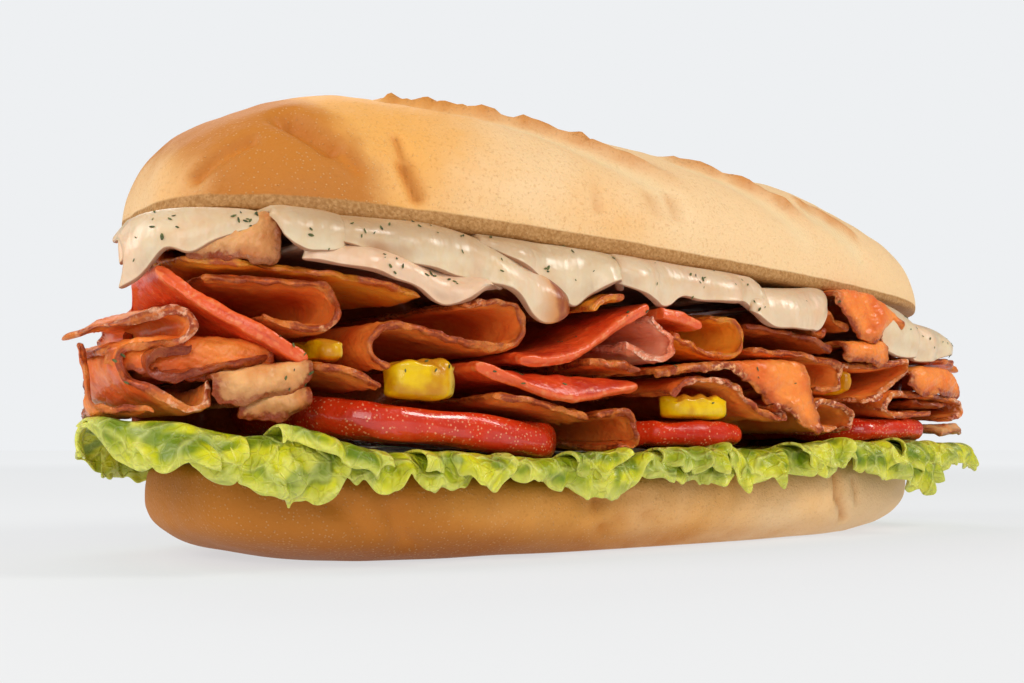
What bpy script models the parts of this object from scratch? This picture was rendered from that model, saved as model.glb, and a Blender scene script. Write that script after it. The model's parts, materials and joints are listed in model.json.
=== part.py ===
# Submarine sandwich: a long soft roll cut in two, filled with lettuce, tomato, pepper, sliced meats and cheese.
# The roll lies along X, the filling shows at the -Y side, +Z is up and the roll stands on z = 0.
# Every size below is in millimetres; vertices are scaled to metres when a mesh is finished.

import math

import bmesh
import bpy

MM = 0.001

# Sizes of the roll
ROLL_HALF_LENGTH = 100.0
ROLL_HALF_WIDTH = 38.0
ROLL_PLAN_POWER = 3.4
RIM_HEIGHT = 58.7
RIM_SLOPE = -0.031
CROWN_HEIGHT = 29.0
CROWN_SLOPE = -0.02
CUT_BULGE = 1.6
HEEL_HALF_LENGTH = 96.5
HEEL_CENTRE = 0.8
HEEL_HALF_WIDTH = 36.6
HEEL_WAIST = 11.5
HEEL_DEPTH = 14.6

# Sizes of the filling
FILL_CENTRE = 3.0
FILL_HALF_LENGTH = 118.5
FILL_HALF_WIDTH = 40.0
FILL_PLAN_POWER = 3.2
FILL_LEAST_DEPTH = 10.0
BACK_SHIFT = 3.0
BACK_LIFT = 1.3
LOW_CORNER = -1.0
LOW_CORNER_SLOPE = 3.4
HIGH_CORNER = -27.0
HIGH_CORNER_SLOPE = 3.05
SLICE = 1.6
SALAMI = 2.2
CHEESE = 1.8
LEAF = 0.7
TOMATO = 6.4


def clear_scene():
    for thing in list(bpy.data.objects):
        bpy.data.objects.remove(thing, do_unlink=True)
    for group in list(bpy.data.collections):
        bpy.data.collections.remove(group)


def make_material(name, colour, roughness):
    made = bpy.data.materials.new(name)
    made.use_nodes = True
    shader = made.node_tree.nodes["Principled BSDF"]
    shader.inputs["Base Color"].default_value = (*colour, 1.0)
    shader.inputs["Roughness"].default_value = roughness
    shader.inputs["Metallic"].default_value = 0.0
    return made


clear_scene()
PARTS = bpy.data.collections.new("submarine_sandwich")
bpy.context.scene.collection.children.link(PARTS)
LOOKS = {
    "crust": make_material("crust", (0.62, 0.33, 0.12), 0.5),
    "lettuce": make_material("lettuce", (0.36, 0.55, 0.09), 0.45),
    "tomato": make_material("tomato", (0.62, 0.07, 0.03), 0.25),
    "pepper": make_material("pepper", (0.85, 0.66, 0.05), 0.3),
    "salami": make_material("salami", (0.62, 0.12, 0.05), 0.35),
    "turkey": make_material("turkey", (0.72, 0.36, 0.16), 0.4),
    "cheese": make_material("cheese", (0.86, 0.78, 0.64), 0.3),
}


def smooth(value):
    held = min(max(value, 0.0), 1.0)
    return held * held * (3.0 - 2.0 * held)


def bell(value):
    return math.exp(-value * value)


def signed_power(value, power):
    return math.copysign(abs(value) ** power, value)


def fill_depth(x):
    """Half depth of the filling, front to back, at a place along the roll."""
    share = min(abs(x - FILL_CENTRE) / FILL_HALF_LENGTH, 1.0)
    depth = FILL_HALF_WIDTH * (1.0 - share**FILL_PLAN_POWER) ** (1.0 / FILL_PLAN_POWER)
    return max(depth, FILL_LEAST_DEPTH)


def back_depth(x, z, depth, reach):
    """Depth at the back, drawn in at the left end; the upper layers stop further in than the lower ones."""
    upper = smooth((z - 42.0) / 4.0)
    low_limit = LOW_CORNER + LOW_CORNER_SLOPE * (x + 110.0)
    high_limit = HIGH_CORNER + HIGH_CORNER_SLOPE * (x + 110.0)
    limit = low_limit + (high_limit - low_limit) * upper + reach
    return max(min(depth, limit), -depth + 3.0)


def back_shift(x, y, z):
    """Slow drift of the filling towards the back, so that the two long sides are not alike."""
    weight = 0.5 * (y / FILL_HALF_WIDTH + 1.0)
    height = min(max((z - 22.0) / 34.0, 0.0), 1.0)
    along = BACK_SHIFT * math.sin(z / 8.0 + x / 30.0) * weight
    up = BACK_LIFT * math.sin(x / 14.0 + 1.0) * math.sin(math.pi * height) * weight
    return x + along, y, z + up


def leaf_height(x):
    """Height of the upper face of the lettuce bed along the roll."""
    left = 4.8 * smooth((-75.0 - x) / 35.0)
    dip = 2.8 * bell((x + 34.0) / 22.0)
    right = 1.4 * smooth((x - 20.0) / 30.0)
    return 20.4 + left - dip + right


def inner_rise(x):
    """How far the leaves puff up inside the food where no tomato lies on them."""
    left = 0.5 * smooth((-85.0 - x) / 3.0)
    middle = 1.4 * smooth((x + 25.5) / 2.0) * smooth((-17.0 - x) / 2.0)
    right = 1.8 * smooth((x - 23.0) / 4.0) * smooth((50.0 - x) / 4.0)
    far = 0.8 * smooth((x - 89.0) / 4.0)
    return left + middle + right + far


def add_part(name, look, mesh):
    part = bpy.data.objects.new(name, mesh)
    PARTS.objects.link(part)
    mesh.materials.append(LOOKS[look])
    mesh.polygons.foreach_set("use_smooth", [True] * len(mesh.polygons))
    return part


def grid_part(name, look, along, across, place, thickness):
    """A grid of faces laid on the surface that place(column, row) gives, thickened to a closed solid."""
    shape = bmesh.new()
    bmesh.ops.create_grid(shape, x_segments=along, y_segments=across, size=1.0)
    for vertex in shape.verts:
        column = round((vertex.co.x + 1.0) * 0.5 * along)
        row = round((vertex.co.y + 1.0) * 0.5 * across)
        vertex.co = [value * MM for value in place(column, row)]
    mesh = bpy.data.meshes.new(name)
    shape.to_mesh(mesh)
    shape.free()
    part = add_part(name, look, mesh)
    skin = part.modifiers.new("Thickness", "SOLIDIFY")
    skin.thickness = thickness * MM
    skin.offset = 0.0
    skin.use_even_offset = True
    return part


# Folded slices
# A slice is drawn from the side as a line that runs and bends: each step is a length and the turn made in it.
STEP = 0.25
BEND_WEIGHT = 3.0


def fold_line(start, heading, steps, count):
    """Points along a folded line, closer together where it bends."""
    x, z = start
    angle = math.radians(heading)
    dense = [(x, z, 0.0)]
    travel = 0.0
    for length, turn in steps:
        parts = max(1, round(length / STEP))
        for _ in range(parts):
            angle += math.radians(turn) / parts * 0.5
            x += math.cos(angle) * length / parts
            z += math.sin(angle) * length / parts
            angle += math.radians(turn) / parts * 0.5
            travel += length / parts + BEND_WEIGHT * abs(math.radians(turn)) / parts
            dense.append((x, z, travel))
    points = []
    place = 0
    for number in range(count + 1):
        wanted = travel * number / count
        while place < len(dense) - 2 and dense[place + 1][2] < wanted:
            place += 1
        low = dense[place]
        high = dense[place + 1]
        share = (wanted - low[2]) / max(high[2] - low[2], 1e-9)
        points.append((low[0] + (high[0] - low[0]) * share, low[1] + (high[1] - low[1]) * share))
    return points


PLAIN_ROWS = ((-1.0, 0.0), (1.0, 0.0))
HUNG_ROWS = ((-1.0, 1.0), (-0.985, 0.5), (-0.93, 0.06), (0.93, 0.06), (0.985, 0.5), (1.0, 1.0))


def folded_slice(name, look, thickness, reach, start, heading, steps, count, hang=None):
    """A slice folded along its line and run through the food, its long edges hanging where hang says."""
    line = fold_line(start, heading, steps, count)
    rows = HUNG_ROWS if hang else PLAIN_ROWS

    def place(column, row):
        x, z = line[column]
        across, down = rows[row]
        front = fill_depth(x) + reach
        back = back_depth(x, z, front, reach)
        y = 0.5 * (back - front) + 0.5 * (back + front) * across
        if hang:
            z -= hang(x) * down * smooth((front + back) / 24.0)
        return back_shift(x, y, z)

    return grid_part(name, look, len(line) - 1, len(rows) - 1, place, thickness)


TURKEY_FOLDS = (
    ("turkey_tip_fold", -0.5, (-116.6, 38.6), 32.0,
     ((8.2, -14.0), (5.5, -16.0), (2.2, -45.0), (3.0, -65.0), (3.2, -72.0), (4.5, 0.0), (4.5, 95.0),
      (3.4, 45.0), (4.0, 10.0), (3.5, -12.0), (3.4, 60.0), (2.2, 75.0), (2.6, 0.0)), 24),
    ("turkey_end_flap", -0.5, (-114.6, 38.2), -80.0, ((5.0, 0.0), (4.5, -8.0), (3.0, 80.0), (5.5, 8.0)), 9),
    ("turkey_dark_edge", 0.0, (-101.5, 36.0), 182.0,
     ((4.0, 0.0), (5.2, 172.0), (6.5, 24.0), (10.0, -12.0)), 14),
    ("turkey_wide_bend", -0.5, (-100.0, 48.0), -3.0,
     ((18.5, 0.0), (10.6, -172.0), (5.0, -18.0), (4.8, -10.0)), 14),
    ("turkey_gold_strip", -1.0, (-103.2, 51.0), -3.0, ((28.0, -2.0), (6.0, -10.0), (6.0, -5.0)), 7),
    ("turkey_long_fold", 0.0, (-57.0, 45.7), 10.0,
     ((10.0, -12.0), (12.5, -178.0), (10.0, -12.0), (9.0, 0.0), (5.0, 25.0), (5.0, 85.0),
      (3.4, 60.0), (1.8, 10.0)), 22),
    ("turkey_side_strip", 0.0, (-83.2, 34.2), -9.0, ((7.0, -10.0), (5.6, -3.0)), 5),
    ("turkey_thin_strip", -0.5, (-49.8, 29.9), -6.0, ((10.0, -3.0), (9.0, -4.0), (3.6, -3.0)), 7),
    ("turkey_low_hook", 0.3, (-26.5, 26.4), 3.0,
     ((7.0, 4.0), (4.0, -85.0), (2.2, -5.0), (2.4, -90.0), (3.5, -10.0)), 12),
    ("turkey_short_strip", -1.0, (-28.0, 36.4), 4.0, ((8.0, -6.0), (5.0, -14.0)), 5),
    ("turkey_amber_bump", -1.5, (-28.8, 46.0), 65.0, ((5.5, -62.0), (4.0, -12.0)), 6),
    ("turkey_arch", 0.4, (-7.6, 30.9), 48.0,
     ((4.0, -28.0), (6.0, -18.0), (6.0, -14.0), (6.0, -20.0), (5.0, 0.0), (4.5, 22.0), (3.0, 10.0),
      (3.0, 165.0), (3.5, 0.0)), 20),
    ("turkey_amber_loop", -1.0, (-6.6, 42.9), -22.0,
     ((8.0, 10.0), (8.5, 12.0), (12.2, 176.0), (6.0, 6.0)), 15),
    ("turkey_stack_upper", -0.5, (14.9, 45.9), -2.0, ((16.0, -4.0), (12.0, -12.0)), 6),
    ("turkey_stack_lower", 0.0, (15.2, 41.0), -1.0, ((27.0, -1.0), (10.4, -178.0), (7.0, -6.0)), 14),
    ("turkey_tube", -0.5, (41.7, 48.0), -100.0, ((13.6, -260.0), (4.0, -30.0), (6.5, -6.0)), 17),
    ("turkey_open_fold", 0.0, (46.6, 39.9), -7.0,
     ((8.0, 4.0), (8.0, 12.0), (6.0, 4.0), (4.0, -160.0), (8.0, -10.0), (11.0, -18.0)), 17),
    ("turkey_low_roll", 0.3, (44.5, 24.9), 183.0,
     ((5.0, -3.0), (10.5, -185.0), (7.0, -12.0), (3.5, -20.0), (5.5, -140.0)), 18),
    ("turkey_curl", 0.0, (84.0, 28.9), 181.0,
     ((19.0, -1.0), (7.0, -178.0), (16.0, -2.0), (20.0, -4.0), (6.6, -172.0), (9.0, 0.0)), 19),
    ("turkey_roll_edge", 1.0, (-91.0, 51.7), 95.0,
     ((2.2, -20.0), (2.8, -25.0), (1.3, 50.0), (1.0, 30.0)), 8),
)
for fold_name, fold_reach, fold_start, fold_heading, fold_steps, fold_count in TURKEY_FOLDS:
    folded_slice(fold_name, "turkey", SLICE, fold_reach, fold_start, fold_heading, fold_steps, fold_count)

folded_slice("ham_fan", "turkey", SLICE, 0.8, (-20.5, 40.2), -12.0,
             ((9.0, -4.0), (8.5, 165.0), (5.0, -5.0)), 12)

folded_slice("salami_slope", "salami", SALAMI, 0.2, (-106.4, 49.6), -54.0,
             ((2.2, 12.0), (5.0, 9.0), (20.0, 4.0)), 8)
folded_slice("salami_short", "salami", SALAMI, 0.8, (-11.0, 46.8), -7.0, ((11.5, -2.0),), 4)
folded_slice("salami_rise", "salami", SALAMI, 0.6, (-45.0, 36.6), 6.0,
             ((5.5, 6.0), (12.0, 14.0), (16.0, 0.0)), 9, lambda x: 2.2 * bell((x + 32.0) / 12.0))
folded_slice("salami_bowl", "salami", SALAMI, 0.6, (-54.0, 35.3), -22.0,
             ((8.0, 20.0), (28.7, 2.0)), 11, lambda x: 4.7 * bell((x + 33.0) / 12.0))


def front_fall(x):
    return 6.0 * smooth((x - 11.5) / 5.5) + 6.5 * smooth((x - 24.8) / 3.0)


folded_slice("turkey_front_flap", "turkey", SLICE, 0.0, (-13.2, 34.9), 6.0,
             ((14.0, -2.0), (16.0, -2.0), (13.0, -2.0), (3.5, -30.0)), 15, front_fall)
folded_slice("turkey_flat_roll", "turkey", SLICE, 0.3, (-96.4, 31.2), 9.0, ((12.6, 0.0),), 5, lambda x: 4.4)
folded_slice("turkey_low_slice", "turkey", SLICE, -2.2, (-95.5, 28.2), 6.0, ((12.0, 2.0),), 5, lambda x: 2.6)
folded_slice("turkey_big_flap", "turkey", SLICE, 1.2, (41.5, 53.0), 12.0,
             ((6.0, -12.0), (6.0, -16.0), (12.0, -14.0)), 9, lambda x: 7.2 * bell((x - 55.0) / 8.0))
folded_slice("turkey_dark_flap", "turkey", SLICE, 1.2, (44.6, 43.6), 0.0, ((15.5, 2.0),), 5, lambda x: 3.5)
folded_slice("turkey_right_flap", "turkey", SLICE, 0.6, (74.2, 39.6), 6.0,
             ((16.0, -8.0), (8.0, -24.0)), 8, lambda x: 4.2)
folded_slice("turkey_right_upper", "turkey", SLICE, 0.0, (78.0, 42.6), -4.0, ((14.0, 0.0), (14.0, 2.0)), 7)
folded_slice("turkey_right_middle", "turkey", SLICE, -1.0, (76.0, 31.0), 2.0, ((20.0, -2.0),), 5)
folded_slice("turkey_right_lower", "turkey", SALAMI, 0.0, (89.0, 25.6), 0.0, ((18.0, 0.0),), 5, lambda x: 2.0)

# Melted cheese
CHEESE_FOLDS = (
    ("cheese_left", (-108.4, 49.7), 84.0, ((4.5, 0.0), (5.0, -72.0), (9.0, -14.0)), 12,
     lambda x: 6.2),
    ("cheese_slab", (-80.6, 58.0), -2.0, ((18.0, -6.0), (12.0, -12.0), (12.0, -8.0), (6.0, 0.0)), 12,
     lambda x: 2.4 + 2.8 * bell((x + 43.0) / 3.5)),
    ("cheese_pink", (-80.5, 51.6), 3.0, ((12.0, -8.0), (9.0, -8.0), (11.0, 16.0)), 10,
     lambda x: 1.0 + 3.8 * bell((x + 60.0) / 6.5)),
    ("cheese_drape", (-52.0, 57.0), -2.0, ((31.0, -1.0),), 12,
     lambda x: 1.5 + 8.6 * smooth((x + 51.0) / 20.0) - 4.5 * smooth((x + 34.0) / 10.0)),
    ("cheese_wave", (-20.2, 55.7), -2.0, ((29.0, 0.0), (7.5, -10.0)), 14,
     lambda x: 5.2 + 2.8 * bell((x + 11.5) / 4.0) - 4.0 * smooth((x - 13.5) / 2.5)),
    ("cheese_streak", (17.0, 50.6), -3.0, ((16.5, 3.0),), 7, lambda x: 4.5),
    ("cheese_right", (56.5, 54.0), -8.0, ((11.5, -14.0), (4.0, -34.0), (1.5, 0.0)), 9,
     lambda x: 1.5 + 2.5 * bell((x - 71.0) / 5.0)),
    ("cheese_round", (73.4, 47.3), 6.0, ((12.0, -8.0), (11.0, -20.0)), 9, lambda x: 3.0),
)
for fold_name, fold_start, fold_heading, fold_steps, fold_count, fold_hang in CHEESE_FOLDS:
    folded_slice(fold_name, "cheese", CHEESE, 1.9, fold_start, fold_heading, fold_steps, fold_count, fold_hang)
folded_slice("cheese_roll", "cheese", CHEESE, 1.9, (-87.6, 58.5), 0.0,
             ((2.5, -20.0), (6.0, -95.0), (2.5, -55.0)), 11)

# Lettuce leaves
# Leaves lie in two layers, each running through the food and hanging over both edges of the heel.
LEAF_ROWS = (
    (-1.0, 42.8, 1.0),
    (-0.97, 42.4, 0.5),
    (-0.93, 41.0, 0.08),
    (-0.4, 33.0, 0.0),
    (0.4, 33.0, 0.0),
    (0.93, 41.0, 0.08),
    (0.97, 42.4, 0.5),
    (1.0, 42.8, 1.0),
)
LEAVES = (
    ("lettuce_leaf_1", -112.5, -93.5, 0, 4.2),
    ("lettuce_leaf_2", -97.0, -78.5, 1, 10.2),
    ("lettuce_leaf_3", -83.0, -47.5, 0, 6.6),
    ("lettuce_leaf_4", -51.5, -16.5, 1, 6.4),
    ("lettuce_leaf_5", -21.0, 8.0, 0, 6.4),
    ("lettuce_leaf_6", 4.0, 42.0, 1, 7.2),
    ("lettuce_leaf_7", 37.0, 61.0, 0, 5.2),
    ("lettuce_leaf_8", 56.0, 115.0, 1, 8.4),
)
for leaf_name, leaf_start, leaf_end, layer, hang_depth in LEAVES:
    leaf_columns = max(8, round((leaf_end - leaf_start) / 3.4))

    def leaf_place(column, row, start=leaf_start, end=leaf_end, upper=layer, fall=hang_depth, columns=leaf_columns):
        share = column / columns
        x = start + (end - start) * share
        across, width, down = LEAF_ROWS[row]
        spread = fill_depth(x) / FILL_HALF_WIDTH
        edge = smooth(min(share, 1.0 - share) / 0.14)
        lobes = 1.0 + 0.24 * math.sin(x * 0.52 + 0.7) + 0.12 * math.sin(x * 1.13)
        ruffle = 0.9 * math.sin(x * 0.58) * down
        front = (width + 3.1 * upper) * spread + ruffle
        back = max(min(front, LOW_CORNER + LOW_CORNER_SLOPE * (x + 110.0)), 3.0 - front)
        z = leaf_height(x) - 1.8 + 1.45 * upper - fall * down * (0.2 + 0.8 * edge) * lobes
        z += inner_rise(x) * (1.0 if abs(across) < 0.5 else 0.0)
        x += 0.9 * math.sin(z * 0.6) * down
        return x, back if across > 0.0 else -front, z + 0.5 * math.sin(x * 0.58 + 1.2) * down

    grid_part(leaf_name, "lettuce", leaf_columns, len(LEAF_ROWS) - 1, leaf_place, LEAF)

# Tomato slices
TOMATO_SIDES = 32
TOMATO_PLAN_POWER = 0.46
TOMATO_TOP_LOSS = 1.4
TOMATO_SLICES = (
    ("tomato_slice_1", -53.7, 23.9, 27.7, -0.09),
    ("tomato_slice_2", 4.2, 23.5, 17.6, 0.0),
    ("tomato_slice_3", 70.0, 24.95, 17.0, 0.0),
)
for slice_name, slice_x, slice_z, half_length, lean in TOMATO_SLICES:
    disc = bmesh.new()
    bmesh.ops.create_cone(disc, cap_ends=True, segments=TOMATO_SIDES, radius1=1.0, radius2=1.0, depth=1.0)
    thick = TOMATO if lean else TOMATO - TOMATO_TOP_LOSS
    rim = [edge for edge in disc.edges if abs(edge.verts[0].co.z - edge.verts[1].co.z) < 0.1]
    for vertex in disc.verts:
        x = slice_x + signed_power(vertex.co.x, TOMATO_PLAN_POWER) * half_length
        y = signed_power(vertex.co.y, TOMATO_PLAN_POWER) * (fill_depth(slice_x) - 1.2)
        z = slice_z + vertex.co.z * thick + lean * (x - slice_x)
        vertex.co = (x * MM, y * MM, z * MM)
    bmesh.ops.bevel(disc, geom=rim, offset=1.4 * MM, segments=1, profile=0.5, affect="EDGES")
    disc_mesh = bpy.data.meshes.new(slice_name)
    disc.to_mesh(disc_mesh)
    disc.free()
    add_part(slice_name, "tomato", disc_mesh)

# Pepper pieces
# Each is a piece cut from a ring, its skin outwards; the narrow ones are seen from the cut end.
PEPPERS = (
    ("pepper_left", -81.3, -76.1, 35.3, 38.6, 12.0),
    ("pepper_wide", -68.6, -54.6, 28.9, 35.6, 5.0),
    ("pepper_arched", -5.0, 12.2, 26.5, 31.0, 5.0),
    ("pepper_right", 47.0, 50.4, 32.7, 38.0, 12.0),
)
for pepper_name, pepper_start, pepper_end, pepper_low, pepper_high, pepper_deep in PEPPERS:
    block = bmesh.new()
    bmesh.ops.create_cube(block, size=1.0)
    bmesh.ops.subdivide_edges(block, edges=block.edges[:], cuts=3, use_grid_fill=True)
    middle = 0.5 * (pepper_start + pepper_end)
    half = 0.5 * (pepper_end - pepper_start)
    for vertex in block.verts:
        side = vertex.co.x * 2.0
        level = vertex.co.z * 2.0
        pinch = 1.0 - 0.1 * side * side
        x = middle + side * half * (1.0 - 0.06 * level * level)
        z = 0.5 * (pepper_low + pepper_high) + 0.5 * (pepper_high - pepper_low) * level * pinch
        front = -fill_depth(middle) + 0.6 + 2.2 * side * side + 0.7 * level * level
        y = front + (vertex.co.y + 0.5) * pepper_deep
        vertex.co = (x * MM, y * MM, z * MM)
    block_mesh = bpy.data.meshes.new(pepper_name)
    block.to_mesh(block_mesh)
    block.free()
    add_part(pepper_name, "pepper", block_mesh)

# The roll
# Both halves start as a sphere whose poles point along X, drawn out to a rounded box in plan and in section.
EARS = (
    (-64.0, -3.0, -10.0, -20.0, 3.2),
    (10.0, -4.0, 50.0, -20.0, 3.0),
    (54.0, -6.0, 82.0, -18.0, 1.8),
)
WRINKLES = (
    (-84.0, -24.0, 7.0, 2.2, 0.9),
    (-66.0, -31.0, 3.0, 7.0, 1.0),
    (-49.0, -34.0, 2.2, 6.0, 0.8),
    (-20.0, -36.0, 2.0, 5.0, 0.6),
    (-8.0, -36.0, 2.0, 5.0, 0.6),
)


def ear_relief(x, y):
    """Raised lip and shallow trough of the slanting cuts on the crown."""
    lift = 0.0
    for start_x, start_y, end_x, end_y, height in EARS:
        run_x = end_x - start_x
        run_y = end_y - start_y
        length = math.hypot(run_x, run_y)
        share = ((x - start_x) * run_x + (y - start_y) * run_y) / (length * length)
        aside = ((y - start_y) * run_x - (x - start_x) * run_y) / length
        along = smooth(share / 0.12) * smooth((1.0 - share) / 0.2)
        lift += along * height * (bell((aside - 0.5) / 2.6) - 0.45 * bell((aside + 6.0) / 4.0))
    return lift


def wrinkle_relief(x, y):
    return sum(depth * bell((x - cx) / rx) * bell((y - cy) / ry) for cx, cy, rx, ry, depth in WRINKLES)


def roll_half(name, sides, rings, shape_point):
    ball = bmesh.new()
    bmesh.ops.create_uvsphere(ball, u_segments=sides, v_segments=rings, radius=1.0)
    for vertex in ball.verts:
        along = vertex.co.z
        ring = math.hypot(vertex.co.x, vertex.co.y)
        turn = math.atan2(vertex.co.y, vertex.co.x) if ring > 1e-6 else 0.0
        vertex.co = [value * MM for value in shape_point(along, ring, turn)]
    mesh = bpy.data.meshes.new(name)
    ball.to_mesh(mesh)
    ball.free()
    return add_part(name, "crust", mesh)


def crown_point(along, ring, turn):
    plan = 2.0 / ROLL_PLAN_POWER
    x = ROLL_HALF_LENGTH * signed_power(along, plan)
    width = ring**plan
    rim = RIM_HEIGHT + RIM_SLOPE * x
    rise = math.sin(turn)
    if rise >= 0.0:
        y = ROLL_HALF_WIDTH * width * signed_power(math.cos(turn), 0.82)
        height = (CROWN_HEIGHT + CROWN_SLOPE * x) * width**1.5
        z = rim + height * rise**0.9 + ear_relief(x, y) * smooth((rise - 0.3) / 0.4)
        dent = wrinkle_relief(x, y)
        y -= math.copysign(dent, y) * 0.8
        z -= dent * 0.4
    else:
        y = ROLL_HALF_WIDTH * width * signed_power(math.cos(turn), 0.82)
        z = rim - CUT_BULGE * min(1.0, -rise * 3.6) * width**0.4
    return x, y, z


def heel_point(along, ring, turn):
    plan = 2.0 / ROLL_PLAN_POWER
    x = HEEL_CENTRE + HEEL_HALF_LENGTH * signed_power(along, plan)
    width = ring**plan
    rise = math.sin(turn)
    y = HEEL_HALF_WIDTH * width * signed_power(math.cos(turn), 0.72)
    if rise >= 0.0:
        top = leaf_height(x) - 2.8 - HEEL_WAIST
        z = HEEL_WAIST + top * min(1.0, (rise * 1.6) ** 0.8) * width**0.5
    else:
        z = HEEL_WAIST - HEEL_DEPTH * (-rise) ** 0.7 * width**1.2
    return x, y, z


roll_half("bun_top", 28, 36, crown_point)
heel = roll_half("bun_bottom", 22, 24, heel_point)
base = bmesh.new()
base.from_mesh(heel.data)
cut = bmesh.ops.bisect_plane(
    base, geom=base.verts[:] + base.edges[:] + base.faces[:], plane_co=(0, 0, 0), plane_no=(0, 0, -1), clear_outer=True
)
loop = [item for item in cut["geom_cut"] if isinstance(item, bmesh.types.BMEdge)]
bmesh.ops.edgeloop_fill(base, edges=loop)
bmesh.ops.recalc_face_normals(base, faces=base.faces)
base.to_mesh(heel.data)
base.free()
heel.data.polygons.foreach_set("use_smooth", [True] * len(heel.data.polygons))
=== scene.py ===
# %% [markdown]
# # The looks of a submarine sandwich
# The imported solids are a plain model: every slice is a smooth folded sheet and the roll is a smooth shell.
# This lesson gives each of them the surface of real food. Each step says what the piece is on the real
# sandwich, how it could be made in Blender, and why one way was chosen.

import json
import math

import bmesh
import bpy
import numpy as np
from mathutils import Matrix, Vector, kdtree

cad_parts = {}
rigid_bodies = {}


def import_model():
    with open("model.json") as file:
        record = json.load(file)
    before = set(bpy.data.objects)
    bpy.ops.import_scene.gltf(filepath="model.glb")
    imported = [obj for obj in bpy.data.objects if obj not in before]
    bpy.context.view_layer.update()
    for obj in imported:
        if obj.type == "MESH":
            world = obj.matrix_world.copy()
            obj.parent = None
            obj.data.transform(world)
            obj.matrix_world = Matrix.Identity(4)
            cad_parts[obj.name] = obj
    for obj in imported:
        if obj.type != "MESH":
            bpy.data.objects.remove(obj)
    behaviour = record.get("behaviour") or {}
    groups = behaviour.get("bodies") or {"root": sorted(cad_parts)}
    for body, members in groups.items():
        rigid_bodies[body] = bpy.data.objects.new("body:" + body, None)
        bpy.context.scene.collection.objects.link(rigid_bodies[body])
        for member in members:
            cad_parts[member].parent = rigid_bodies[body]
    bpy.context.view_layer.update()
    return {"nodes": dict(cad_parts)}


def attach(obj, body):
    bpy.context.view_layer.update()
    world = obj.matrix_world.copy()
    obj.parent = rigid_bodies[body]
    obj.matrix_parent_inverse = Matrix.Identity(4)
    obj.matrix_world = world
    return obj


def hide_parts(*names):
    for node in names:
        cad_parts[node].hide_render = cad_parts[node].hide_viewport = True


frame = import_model()
scene = bpy.context.scene
MM = 0.001
print("nodes in the frame:", len(frame["nodes"]))

# %% [markdown]
# ## Camera
# The picture was taken from very low, close to the left end of the roll, looking along it to the right.
# The near end looks tall for that reason and the far end low. A lens of 42 mm on a 36 mm sensor gives
# the same shape. The camera looks level and the frame is shifted up, which keeps upright lines upright.

# %% Camera
LENS = 42.19
EYE = (-0.1723, -0.2130, 0.0208)
TURN = -36.0
FRAME_SHIFT = 0.103

lens = bpy.data.cameras.new("camera")
lens.lens = LENS
lens.sensor_width = 36.0
lens.shift_y = FRAME_SHIFT
camera = bpy.data.objects.new("camera", lens)
camera.location = EYE
camera.rotation_euler = (math.radians(90.0), 0.0, math.radians(TURN))
scene.collection.objects.link(camera)
scene.camera = camera

# %% [markdown]
# ## Shader maths
# A food surface is a sum of many small patterns. In the node editor each plus and each times is a Math
# node with its links. A small class that wraps a socket lets the same graph be written as a formula:
# every operator adds its node. Colours are not numbers, so they go through Mix nodes instead.


# %% Values and looks
class Value:
    """An output socket that can be used in a formula."""

    def __init__(self, look, socket):
        self.look = look
        self.socket = socket

    def join(self, operation, first, second):
        return self.look.node("ShaderNodeMath", {"operation": operation}, {0: first, 1: second})

    def __add__(self, other):
        return self.join("ADD", self, other)

    __radd__ = __add__

    def __sub__(self, other):
        return self.join("SUBTRACT", self, other)

    def __rsub__(self, other):
        return self.join("SUBTRACT", other, self)

    def __mul__(self, other):
        return self.join("MULTIPLY", self, other)

    __rmul__ = __mul__

    def __pow__(self, other):
        return self.join("POWER", self, other)


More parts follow.
